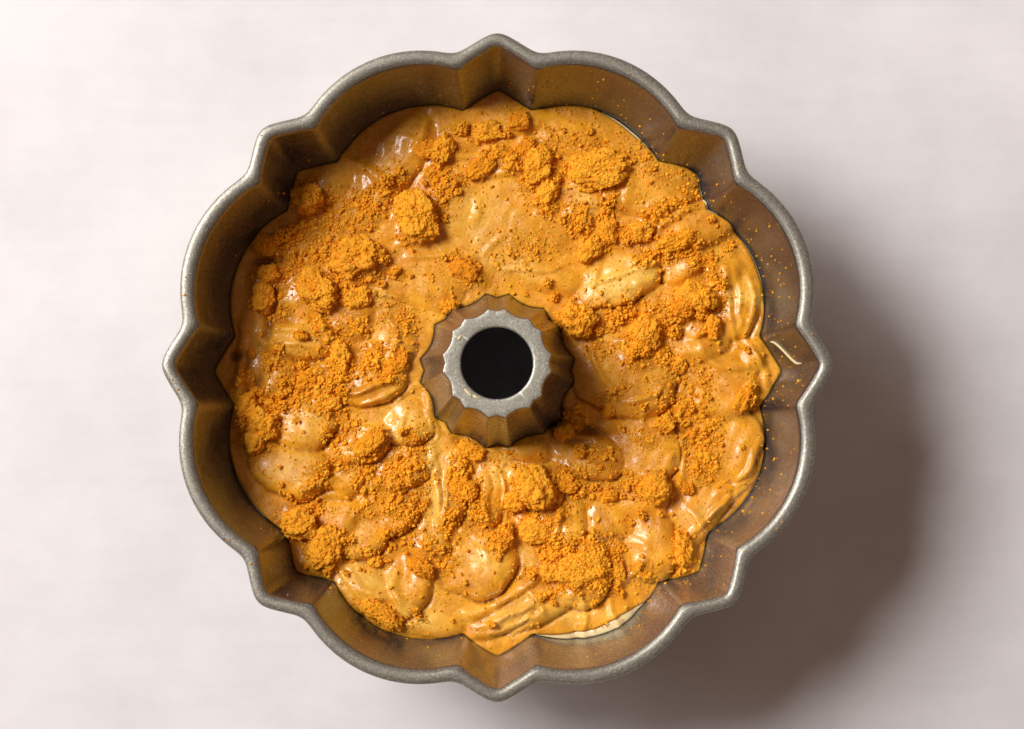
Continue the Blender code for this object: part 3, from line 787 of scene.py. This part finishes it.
def add_dollop(surface, x, y, dollop):
    """Lays a dollop on the surface: rounded, lower at its back, with a groove along its steep front."""
    cx, cy, length, width, _, height, _ = (value * MM for value in dollop)
    angle, front, lit = (math.radians(value) for value in (dollop[4], dollop[6], TILT_BEARING))
    dx, dy = x - cx, y - cy
    along, across = turned(dx, dy, angle)
    along, across = along / (length / 2), across / (width / 2)
    reach = (np.abs(along) ** 2.3 + np.abs(across) ** 2.3) ** (1 / 2.3)

    def towards(way):
        """Share of the way from the middle, 0, to the dollop's edge, 1, in a direction."""
        size = math.hypot(length * math.cos(way - angle), width * math.sin(way - angle)) / 2
        return np.clip(turned(dx, dy, way)[0] / size, -1.2, 1.2)

    ahead, rising = towards(front), towards(lit)
    crisp = min(max((height - 2.0 * MM) / (3.0 * MM), 0), 1)
    dome = np.clip(1 - reach**2.8, 0, None) ** (1.2 - 0.75 * crisp)
    raised = height * (0.58 + 0.16 * ahead + 0.30 * rising) * dome - DOLLOP_SINK
    streaks = np.sin(13 * across + 1.5 * np.sin(3 * along + cx / MM))
    streaks *= 0.6 + 0.4 * np.sin(4 * along + cy / MM)
    raised += (0.05 + 0.07 * crisp) * MM * streaks
    outside = (reach - 1) * min(length, width) / 2
    groove = np.clip(1 - outside / GROOVE_WIDTH, 0, 1) * np.clip(0.2 + ahead * 1.4, 0, 1) * 1.7 * MM * crisp
    return np.where(reach < 1, np.maximum(surface, raised), surface - groove)


def add_fold(surface, x, y, fold):
    """Lays a fold along a curve: a steep face on its right-hand side and a gentle back on its left."""
    x0, y0, x1, y1, x2, y2, width, height = (value * MM for value in fold)
    near = (np.abs(x - x1) < 30 * MM) & (np.abs(y - y1) < 30 * MM)
    px, py = x[near], y[near]
    best = np.full(px.shape, np.inf)
    side = np.zeros(px.shape)
    share = np.zeros(px.shape)
    for t in np.linspace(0, 1, 41):
        a, b, c = (1 - t) ** 2, 2 * t * (1 - t), t**2
        cx, cy = a * x0 + b * x1 + c * x2, a * y0 + b * y1 + c * y2
        dx, dy = (1 - t) * (x1 - x0) + t * (x2 - x1), (1 - t) * (y1 - y0) + t * (y2 - y1)
        distance = np.hypot(px - cx, py - cy)
        closer = distance < best
        best = np.where(closer, distance, best)
        side = np.where(closer, np.sign(dx * (py - cy) - dy * (px - cx)), side)
        share = np.where(closer, t, share)
    reach = np.where(side > 0, best / (1.3 * width), best / (0.6 * width))
    fading = np.sin(math.pi * np.clip(share, 0.02, 0.98)) ** 0.5
    ridge = height * np.clip(1 - reach**2, 0, None) ** 0.7 * fading
    changed = surface.copy()
    changed[near] += ridge
    return changed


def small_folds():
    """Short, thin folds strewn over the batter, each bent a little."""
    rng = np.random.default_rng(SMALL_FOLD_SEED)
    found = []
    for _ in range(SMALL_FOLD_COUNT):
        bearing = rng.uniform(0, 2 * math.pi)
        reach = math.sqrt(rng.uniform(SMALL_FOLD_REACHES[0] ** 2, SMALL_FOLD_REACHES[1] ** 2))
        x, y = reach * math.cos(bearing), reach * math.sin(bearing)
        way = rng.normal(math.radians(200), 0.7)
        half = rng.uniform(4, 9)
        bend = rng.uniform(-3, 3)
        dx, dy = math.cos(way), math.sin(way)
        start, end = (x - half * dx, y - half * dy), (x + half * dx, y + half * dy)
        middle = (x - bend * dy, y + bend * dx)
        found.append((*start, *middle, *end, rng.uniform(1.4, 2.4), rng.uniform(0.35, 0.9)))
    return found


ALL_FOLDS = FOLDS + small_folds()


def patch_shares(x, y, patches, fade, edge):
    """For each patch, its share at arrays of points, 1 in its middle, and the rest of its row."""
    for px, py, length, width, bearing, *rest in patches:
        along, across = turned(x - px * MM, y - py * MM, math.radians(bearing))
        along, across = along / (0.5 * length * MM), across / (0.5 * width * MM)
        yield np.exp(-fade * (along**2 + across**2) ** edge), rest


def cream_and_highlight_share(x, y):
    """Share of pale batter and painted highlight, 0 to 1, at arrays of points."""
    share = np.zeros(x.shape)
    wobbly = wobbled(x, y, 2.5 * MM, 6 * MM, 61.5)
    for weight, (most,) in patch_shares(*wobbly, CREAM_AND_HIGHLIGHT_PATCHES, 0.7, 1.3):
        share = np.maximum(share, most * weight)
    return share


def crumb_cover(x, y):
    """(cover from 0 to 1, heap height) of the crumbs at arrays of points."""
    cover = np.zeros(x.shape)
    heap = np.zeros(x.shape)
    wobbly = wobbled(x, y, 2.2 * MM, 5 * MM, 31.5)
    for weight, (share, pile) in patch_shares(*wobbly, CRUMB_PATCHES, 0.8, 1.5):
        cover = np.maximum(cover, share * weight)
        heap = np.maximum(heap, pile * MM * weight**1.3)
    clotted = 0.75 + 0.9 * ripple(x, y, 3.2 * MM, 41.5)
    return np.clip(cover * clotted, 0, 1), heap * np.clip(0.8 + 0.9 * ripple(x, y, 4 * MM, 43.5), 0, 1.4)


def gap_depth(x, y):
    """How deep the gaps between the dollops are at arrays of points."""
    depth = np.zeros(x.shape)
    for weight, (most,) in patch_shares(x, y, DIPS, 0.8, 1.4):
        depth = np.maximum(depth, most * MM * weight)
    return depth


def batter_relief(x, y):
    """Height of the spiced batter's surface above BATTER_HEIGHT at arrays of points."""
    wx = x + 2.0 * MM * ripple(x, y, 13 * MM, 1.5) + 0.7 * MM * ripple(x, y, 5 * MM, 2.5)
    wy = y + 2.0 * MM * ripple(x, y, 13 * MM, 7.5) + 0.7 * MM * ripple(x, y, 5 * MM, 8.5)
    surface = 0.8 * MM * ripple(x, y, 20 * MM, 3.5) - 0.6 * MM
    for dollop in DOLLOPS:
        surface = add_dollop(surface, wx, wy, dollop)
    for fold in ALL_FOLDS:
        surface = add_fold(surface, wx, wy, fold)
    surface -= gap_depth(wx, wy)
    surface += 0.35 * MM * ripple(wx, wy, 5 * MM, 11.5) + 0.12 * MM * ripple(wx, wy, 1.8 * MM, 13.5)
    return surface + crumb_cover(x, y)[1]


def pale_strip(bearing):
    """How far the spiced batter stops short of the wall at bearings in radians."""
    strip = LEAST_STRIP
    for centre, half_width, most in PALE_STRIPS:
        away = np.abs((np.degrees(bearing) - centre + 180) % 360 - 180) / half_width
        strip = strip + most * np.clip(1 - away**2, 0, None) ** 1.5
    return strip * MM


def surface_rows(turn):
    """Rows of the spiced batter's top, from the wall to the tube."""
    shares = np.linspace(0, 1, BATTER_ROWS)[:, None]
    level = np.full((BATTER_ROWS, len(turn)), BATTER_HEIGHT)
    for _ in range(2):
        outer, outer_bearing = wall_at(turn[None, :], level, TOUCH)
        inner, inner_bearing = tube_at(turn[None, :], level, TOUCH)
        outer = outer - pale_strip(outer_bearing)
        radius = outer + (inner - outer) * shares
        bearing = outer_bearing + (inner_bearing - outer_bearing) * shares
        x, y = radius * np.cos(bearing), radius * np.sin(bearing)
        relief = batter_relief(x, y)
        edge = np.clip(np.minimum(shares, 1 - shares) * RING_WIDTH * MM / EDGE_REACH, 0, 1)
        relief = relief - EDGE_DROP * (1 - np.sqrt(1 - (1 - edge) ** 2))
        level = BATTER_HEIGHT + relief
    points = np.stack([x, y, level], axis=-1)
    return [soften(row, 1) for row in points]


def spiced_side(turn, height):
    """A row on the spiced batter's outer side."""
    radius, bearing = wall_at(turn, height, GAP)
    return placed(radius - pale_strip(bearing), bearing, height)


def side_rows(turn, outer_top, inner_top):
    """Rows of the spiced batter's hidden sides and underside, from the tube's side back to the wall."""
    foot = LAYER_HEIGHT + GAP
    rows = [tube_row(turn, inner_top + (foot - inner_top) * share, GAP) for share in (0.12, 0.5, 1.0)]
    outer_foot = spiced_side(turn, foot)
    rows += [(rows[-1] + outer_foot) / 2, outer_foot]
    rows += [spiced_side(turn, foot + (outer_top - foot) * share) for share in (0.5, 0.88)]
    return rows


def make_spiced_batter(turn):
    """Makes the upper layer and returns the heights of its edge along the wall."""
    top = surface_rows(turn)
    outer_top, inner_top = top[0][:, 2], top[-1][:, 2]
    rows = top + side_rows(turn, outer_top, inner_top)
    mesh = ring_mesh("batter_spiced", rows)
    x, y, _ = np.array(rows).reshape(-1, 3).T
    # Shares for the material: crumb dust, pale batter that is partly a painted highlight, and the gaps,
    # which get painted shade.
    shares = {
        "dust": crumb_cover(x, y)[0],
        "cream_and_highlight": cream_and_highlight_share(x, y),
        "gap": np.clip(gap_depth(x, y) / (3 * MM), 0, 1),
    }
    for name, values in shares.items():
        attribute = mesh.attributes.new(name, "FLOAT", "POINT")
        attribute.data.foreach_set("value", values.astype(np.float32))
    new_piece(mesh, spiced_batter(), "filling", "spiced_batter", "upper_batter")
    return outer_top


def crest_heights(turn, edge_top):
    """Heights of the plain batter's crest along the wall.

    It comes up to the spiced batter's edge where the strip shows, and makes hidden waves elsewhere.
    """
    radius, bearing = wall_at(turn, edge_top, GAP)
    shown = np.clip(pale_strip(bearing) / (0.55 * MM), 0, 1)
    shown = shown**2 * (3 - 2 * shown)
    x, y, _ = placed(radius, bearing, 0.0).T
    waves = 0.28 + 0.75 * ripple(x, y, 26 * MM, 71.5) + 0.3 * ripple(x, y, 8 * MM, 73.5)
    shown = np.maximum(shown, np.clip(waves, 0, 0.8))
    return LAYER_HEIGHT + (edge_top - 0.5 * MM - LAYER_HEIGHT) * shown


def make_plain_batter(turn, edge_top, material):
    """The lower layer, with a thin wall of it standing between the pan and the spiced batter."""
    crest = crest_heights(turn, edge_top)
    level = LAYER_HEIGHT - 0.1 * MM
    inner = tube_row(turn, level, GAP)
    radius, bearing = wall_at(turn, level, GAP)
    corner = placed(radius - pale_strip(bearing) + STRIP_OVERLAP, bearing, level)
    rows = [inner + (corner - inner) * share for share in np.linspace(0, 1, 24)]
    for share in np.linspace(0, 1, 10)[1:]:
        height = level + (crest - CREST_ROUND - level) * share
        radius, bearing = wall_at(turn, height, GAP)
        thickness = np.maximum(pale_strip(bearing) - STRIP_OVERLAP, 0.1 * MM)
        rows.append(placed(radius - thickness, bearing, height))
    inner_crest = rows[-1]
    radius, bearing = wall_at(turn, crest, TOUCH)
    outer_crest = placed(radius, bearing, crest - CREST_ROUND)
    for share in (0.2, 0.4, 0.6, 0.8):
        row = inner_crest + (outer_crest - inner_crest) * share
        lumpy = 0.25 * MM * ripple(row[:, 0], row[:, 1], 5 * MM, 21.5)
        row[:, 2] += (CREST_ROUND + lumpy) * math.sin(math.pi * share)
        rows.append(row)
    for share in np.linspace(0, 1, 14)[:-1]:
        rows.append(wall_row(turn, crest - CREST_ROUND + (WALL_FOOT - crest + CREST_ROUND) * share, GAP))
    rows += [floor_row(turn, share, GAP) for share in np.linspace(0, 1, 28)]
    rows.append(tube_row(turn, (TUBE_FOOT + level) / 2, GAP))
    new_piece(ring_mesh("batter_plain", rows), material, "filling", "plain_batter", "lower_batter")


# ---- Crumbs -----------------------------------------------------------------------------------

# Seeds of the random draws, how many spots are tried, and how the crumbs are split into pieces.
GRAIN_SEED = 11
GRAIN_TRIES = 75000
CLUSTER_TRIES = 9000
NEAREST, FARTHEST = 28 * MM, 118 * MM
CLEAR = 1.2 * MM
SECTORS = 6
CLUMP_SEED = 100
FIRST_SMALL_CLUMP = 50
CLUMPS_PER_PIECE = 10
STRAY_SEED = 5
WALL_CRUMBS = 280
LIP_CRUMBS = 16


def unit_ball(subdivisions):
    """Corners and triangles of a unit icosphere."""
    bm = bmesh.new()
    bmesh.ops.create_icosphere(bm, subdivisions=subdivisions, radius=1.0)
    corners = np.array([vert.co[:] for vert in bm.verts])
    triangles = np.array([[vert.index for vert in face.verts] for face in bm.faces])
    bm.free()
    return corners, triangles


def random_turns(rng, count):
    """Random rotation matrices."""
    q = rng.normal(size=(count, 4))
    q /= np.linalg.norm(q, axis=1)[:, None]
    w, x, y, z = q.T
    return np.stack([
        np.stack([1 - 2 * (y * y + z * z), 2 * (x * y - z * w), 2 * (x * z + y * w)], axis=-1),
        np.stack([2 * (x * y + z * w), 1 - 2 * (x * x + z * z), 2 * (y * z - x * w)], axis=-1),
        np.stack([2 * (x * z - y * w), 2 * (y * z + x * w), 1 - 2 * (x * x + y * y)], axis=-1),
    ], axis=1)


def grains(rng, centres, sizes):
    """Corners and triangles of separate lumpy grains; sizes are their diameters."""
    corners, triangles = unit_ball(1)
    count = len(centres)
    stretch = rng.uniform(0.65, 1.2, size=(count, 1, 3))
    lumps = rng.uniform(0.62, 1.30, size=(count, len(corners), 1))
    shapes = corners[None] * lumps * stretch * (sizes[:, None, None] / 2)
    shapes = np.einsum("nij,nkj->nki", random_turns(rng, count), shapes)
    points = (shapes + centres[:, None, :]).reshape(-1, 3)
    faces = (triangles[None] + (np.arange(count) * len(corners))[:, None, None]).reshape(-1, 3)
    return points, faces


def joined(groups):
    """Points and faces of several groups as one."""
    points, faces, count = [], [], 0
    for new_points, new_faces in groups:
        points.append(new_points)
        faces.append(new_faces + count)
        count += len(new_points)
    return np.concatenate(points), np.concatenate(faces)


def on_batter(x, y):
    """True where a point lies on the batter, clear of the wall and the tube."""
    radius, turn = np.hypot(x, y), np.arctan2(y, x) / (2 * math.pi) % 1
    outer, _ = wall_at(turn, BATTER_HEIGHT, CLEAR)
    inner, _ = tube_at(turn, BATTER_HEIGHT, CLEAR)
    return (radius < outer) & (radius > inner)


def random_spots(rng, count):
    """Points spread evenly over the filling's ring."""
    angle = rng.uniform(0, 2 * math.pi, count)
    reach = np.sqrt(rng.uniform(NEAREST**2, FARTHEST**2, count))
    x, y = reach * np.cos(angle), reach * np.sin(angle)
    keep = on_batter(x, y)
    return x[keep], y[keep]


def scattered(rng):
    """(x, y, lift above the surface, diameter) of every loose grain."""
    x, y = random_spots(rng, GRAIN_TRIES)
    cover, heap = crumb_cover(x, y)
    likely = 1.0 * cover + 0.035 + 0.05 * ripple(x, y, 12 * MM, 51.5)
    keep = rng.uniform(0, 1, len(x)) < likely
    x, y, cover, heap = x[keep], y[keep], cover[keep], heap[keep]
    size = np.clip(rng.lognormal(0.0, 0.42, len(x)) * (0.8 + 0.5 * cover), 0.4, 2.8) * MM
    lift = rng.uniform(0, 0.35, len(x)) * heap
    return x, y, lift, size


def small_clusters(rng):
    """Grains of the crumbs that are 2 to 5 mm across, as (x, y, lift, diameter)."""
    x, y = random_spots(rng, CLUSTER_TRIES)
    cover, _ = crumb_cover(x, y)
    keep = rng.uniform(0, 1, len(x)) < 0.17 * cover + 0.013
    found = []
    for cx, cy in zip(x[keep], y[keep]):
        across = min(rng.lognormal(1.05, 0.42), 7.5) * MM
        count = int(0.9 * (across / (1.15 * MM)) ** 2.6) + 3
        spots = rng.normal(size=(count, 3))
        spots *= (rng.uniform(0.3, 1, count) ** 0.5 / np.linalg.norm(spots, axis=1))[:, None]
        spots *= np.array([1.0, rng.uniform(0.6, 1.0), 0.6]) * (across / 2 - 0.3 * MM)
        turn_by = rng.uniform(0, math.pi)
        sx = cx + spots[:, 0] * math.cos(turn_by) - spots[:, 1] * math.sin(turn_by)
        sy = cy + spots[:, 0] * math.sin(turn_by) + spots[:, 1] * math.cos(turn_by)
        lift = spots[:, 2] + 0.3 * across
        found.append(np.stack([sx, sy, lift, rng.uniform(0.8, 1.5, count) * MM], axis=-1))
    return np.concatenate(found).T


def make_loose_crumbs(material):
    """Loose crumbs on the batter, in one piece for each sixth of the ring."""
    rng = np.random.default_rng(GRAIN_SEED)
    groups = [scattered(rng), small_clusters(rng)]
    x, y, lift, size = (np.concatenate(values) for values in zip(*groups))
    keep = on_batter(x, y)
    x, y, lift, size = x[keep], y[keep], lift[keep], size[keep]
    height = BATTER_HEIGHT + batter_relief(x, y) + lift + 0.15 * size
    centres = np.stack([x, y, height], axis=-1)
    sector_of = (np.floor(np.degrees(np.arctan2(y, x)) / (360 / SECTORS)) % SECTORS).astype(int)
    for number in range(SECTORS):
        chosen = sector_of == number
        mesh = new_mesh(f"loose_crumbs_{number + 1}", *grains(rng, centres[chosen], size[chosen]))
        new_piece(mesh, material, "filling", "sugar_crumb")


def clump(number, length, width, bearing, height, subdivisions):
    """Corners and triangles of a clump of crumb round the origin: a rough core covered in grains."""
    rng = np.random.default_rng(CLUMP_SEED + number)
    half = np.array([length, width, height]) * MM / 2
    corners, triangles = unit_ball(subdivisions)
    squared = corners / (np.abs(corners) ** 2.6).sum(axis=1)[:, None] ** (1 / 2.6)
    offset = Vector((number, 0, 0))
    big = np.array([noise.noise(Vector(c) * 1.5 + offset) for c in corners])
    small = np.array([noise.noise(Vector(c) * 3.7 + offset) for c in corners])
    shape = 1 + 0.34 * big + 0.20 * small
    skin = squared * shape[:, None] * (half - 0.2 * MM)
    coarse = np.array([noise.voronoi(Vector(p) / (2.3 * MM))[0][0] for p in skin])
    pits = np.array([noise.voronoi(Vector(p) / (1.1 * MM) + offset)[0][0] for p in skin])
    fine = np.array([noise.noise(Vector(p) / (0.8 * MM)) for p in skin])
    skin = skin + corners * ((0.55 * fine - 0.55 * pits - 0.35 * coarse + 0.4) * MM)[:, None]
    area = 4 * math.pi * (half[0] * half[1] + half[0] * half[2] + half[1] * half[2]) / 3 / MM**2
    spots = skin[rng.integers(0, len(skin), int(area * (1.7 if subdivisions > 4 else 0.8)))]
    spots = spots * rng.uniform(0.94, 1.02, (len(spots), 1))
    sizes = np.clip(rng.lognormal(-0.32, 0.36, len(spots)), 0.35, 1.8) * MM
    points, faces = joined([(skin, triangles), grains(rng, spots, sizes)])
    cosine, sine = math.cos(math.radians(bearing)), math.sin(math.radians(bearing))
    return points @ np.array([[cosine, sine, 0], [-sine, cosine, 0], [0, 0, 1]]), faces


def resting(x, y, lift):
    """A point above the batter's surface at x, y."""
    return np.array([x, y, BATTER_HEIGHT + batter_relief(np.array([x]), np.array([y]))[0] + lift])


def make_clump(node, material):
    """A clump of crumb in the place of one of the frame's lumps."""
    low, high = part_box(node)
    number = int(node[-2:])
    length, width, bearing, height, stand = CLUMPS[number - 1]
    points, faces = clump(number, length, width, bearing, height, 5)
    points = points + resting((low.x + high.x) / 2, (low.y + high.y) / 2, stand * height / 2 * MM)
    mesh = new_mesh(node.replace("lump", "clump"), points, faces)
    new_piece(mesh, material, "filling", "sugar_crumb", node)


def make_small_clumps(material):
    """The smaller clumps, in pieces of ten."""
    for start in range(0, len(SMALL_CLUMPS), CLUMPS_PER_PIECE):
        groups = []
        for number, (x, y, *size, height) in enumerate(SMALL_CLUMPS[start:start + CLUMPS_PER_PIECE], start):
            points, faces = clump(FIRST_SMALL_CLUMP + number, *size, height, 4)
            groups.append((points + resting(x * MM, y * MM, 0.35 * height / 2 * MM), faces))
        mesh = new_mesh(f"small_clumps_{start // CLUMPS_PER_PIECE + 1}", *joined(groups))
        new_piece(mesh, material, "filling", "sugar_crumb")


def make_stray_crumbs(material):
    """A few small crumbs that cling to the pan's wall and lie on its lip."""
    rng = np.random.default_rng(STRAY_SEED)
    turn = (rng.normal(20, 70, WALL_CRUMBS) / 360) % 1
    height = BATTER_HEIGHT + (RIM_HEIGHT - BATTER_HEIGHT) * rng.beta(1.1, 2.4, WALL_CRUMBS)
    on_wall = wall_row(turn, height, 0.1 * MM)
    sizes = np.clip(rng.lognormal(-0.35, 0.35, WALL_CRUMBS), 0.4, 1.5) * MM
    lip_radius, lip_bearing = wall_at(rng.uniform(0, 1, LIP_CRUMBS), RIM_HEIGHT, -3.4 * MM)
    on_lip = placed(lip_radius, lip_bearing, RIM_HEIGHT + 0.2 * MM)
    sizes = np.concatenate([sizes, rng.uniform(0.4, 1.1, LIP_CRUMBS) * MM])
    mesh = new_mesh("stray_crumbs", *grains(rng, np.concatenate([on_wall, on_lip]), sizes))
    new_piece(mesh, material, "pan", "sugar_crumb")


# Smears on the tube's ring: bearing in degrees, then radius, length and width in mm.
SMEARS = [(226, 16.4, 4.2, 1.3), (238, 15.9, 2.6, 1.2), (146, 18.0, 2.4, 1.0)]
SMEAR_HEIGHT = 0.35


def make_smears(material):
    """A string of batter on the wall at the right and three smears on the tube's ring."""
    share = np.linspace(0, 1, 40)
    turn = (5.8 - 5.6 * share + 0.8 * np.sin(7 * share)) / 360 % 1
    string = wall_row(turn, 71 * MM + 16 * MM * share, 0.25 * MM)
    girths = 0.25 + 0.40 * np.sin(math.pi * share) ** 0.7
    corners, triangles = unit_ball(2)
    groups = [(corners * girth * MM + place, triangles) for place, girth in zip(string, girths)]
    for bearing, reach, length, width in SMEARS:
        angle = math.radians(bearing)
        along = np.array([-math.sin(angle), math.cos(angle), 0])
        out = np.array([math.cos(angle), math.sin(angle), 0])
        offset = Vector((reach, 0, 0))
        lumpy = np.array([1 + 0.5 * noise.noise(Vector(c) * 2 + offset) for c in corners])[:, None]
        blob = corners[:, :1] * along * length / 2 + corners[:, 1:2] * out * width / 2
        blob = blob + corners[:, 2:] * np.array([0, 0, SMEAR_HEIGHT])
        groups.append((blob * lumpy * MM + out * reach * MM + np.array([0, 0, TUBE_HEIGHT]), triangles))
    mesh = new_mesh("batter_smears", *joined(groups))
    mesh.shade_smooth()
    new_piece(mesh, material, "pan", "plain_batter")


# ---- Stage ------------------------------------------------------------------------------------

AIM = Vector((6 * MM, 0, RIM_HEIGHT))
CAMERA_OFFSET = Vector((0, -65 * MM, 1.0))
LENS = 87.7
SENSOR_WIDTH = 36

# The soft window light, as a core and a broad skirt: bearing and elevation in degrees, width, power.
LIGHT_DISTANCE = 3.5
LIGHT_COLOUR = (1.0, 0.98, 0.985)
LIGHTS = {
    "core": (153, 52, 1.25, 96),
    "skirt": (152, 37, 3.1, 68),
}
LIT_SPOT = (0, 0, 0.06)
WORLD_COLOUR = (1.0, 0.68, 0.54)
WORLD_STRENGTH = 0.15
FLOOR_SIDE = 8.0
FLOOR_CELLS = 32


def aim_at(obj, target):
    obj.rotation_mode = "QUATERNION"
    obj.rotation_quaternion = (Vector(target) - obj.location).to_track_quat("-Z", "Y")


def make_floor():
    bm = bmesh.new()
    bmesh.ops.create_grid(bm, x_segments=FLOOR_CELLS, y_segments=FLOOR_CELLS, size=FLOOR_SIDE / 2)
    mesh = bpy.data.meshes.new("floor")
    bm.to_mesh(mesh)
    bm.free()
    mesh.materials.append(pale_plaster())
    add_object("floor", mesh)


def make_lights():
    for name, (bearing, elevation, size, power) in LIGHTS.items():
        data = bpy.data.lights.new(name, "AREA")
        data.shape = "DISK"
        data.size = size
        data.energy = power
        data.color = LIGHT_COLOUR
        lamp = add_object(name, data)
        bearing, elevation = math.radians(bearing), math.radians(elevation)
        towards = Vector((math.cos(bearing) * math.cos(elevation),
                          math.sin(bearing) * math.cos(elevation), math.sin(elevation)))
        lamp.location = towards * LIGHT_DISTANCE
        aim_at(lamp, LIT_SPOT)
    world = bpy.data.worlds.new("studio")
    world.use_nodes = True
    background = world.node_tree.nodes["Background"]
    background.inputs["Color"].default_value = (*WORLD_COLOUR, 1)
    background.inputs["Strength"].default_value = WORLD_STRENGTH
    bpy.context.scene.world = world


def make_camera():
    data = bpy.data.cameras.new("camera")
    data.sensor_width = SENSOR_WIDTH
    data.lens = LENS
    camera = add_object("camera", data)
    camera.location = AIM + CAMERA_OFFSET
    aim_at(camera, AIM)
    bpy.context.scene.camera = camera
    bpy.context.scene.view_settings.view_transform = "Standard"


make_pan()
turns = np.arange(BATTER_COLUMNS) / BATTER_COLUMNS
spiced_edge = make_spiced_batter(turns)
pale_material = plain_batter()
make_plain_batter(turns, spiced_edge, pale_material)
clump_material = sugar_crumb(
    "sugar_clump_grit", dark=(0.78, 0.255, 0.004), middle=(0.94, 0.37, 0.007), light=(1.0, 0.48, 0.03),
    hollow_shade=0.85, glow=0.1)
crumb_material = sugar_crumb(
    "sugar_crumb_grit", dark=(0.86, 0.31, 0.005), middle=(0.99, 0.44, 0.012), light=(1.0, 0.56, 0.05),
    hollow_shade=0.0, glow=0.0)
for lump in sorted(name for name in frame["nodes"] if name.startswith("crumb_lump")):
    make_clump(lump, clump_material)
make_small_clumps(clump_material)
make_loose_crumbs(crumb_material)
make_stray_crumbs(crumb_material)
make_smears(pale_material)
make_floor()
make_lights()
make_camera()
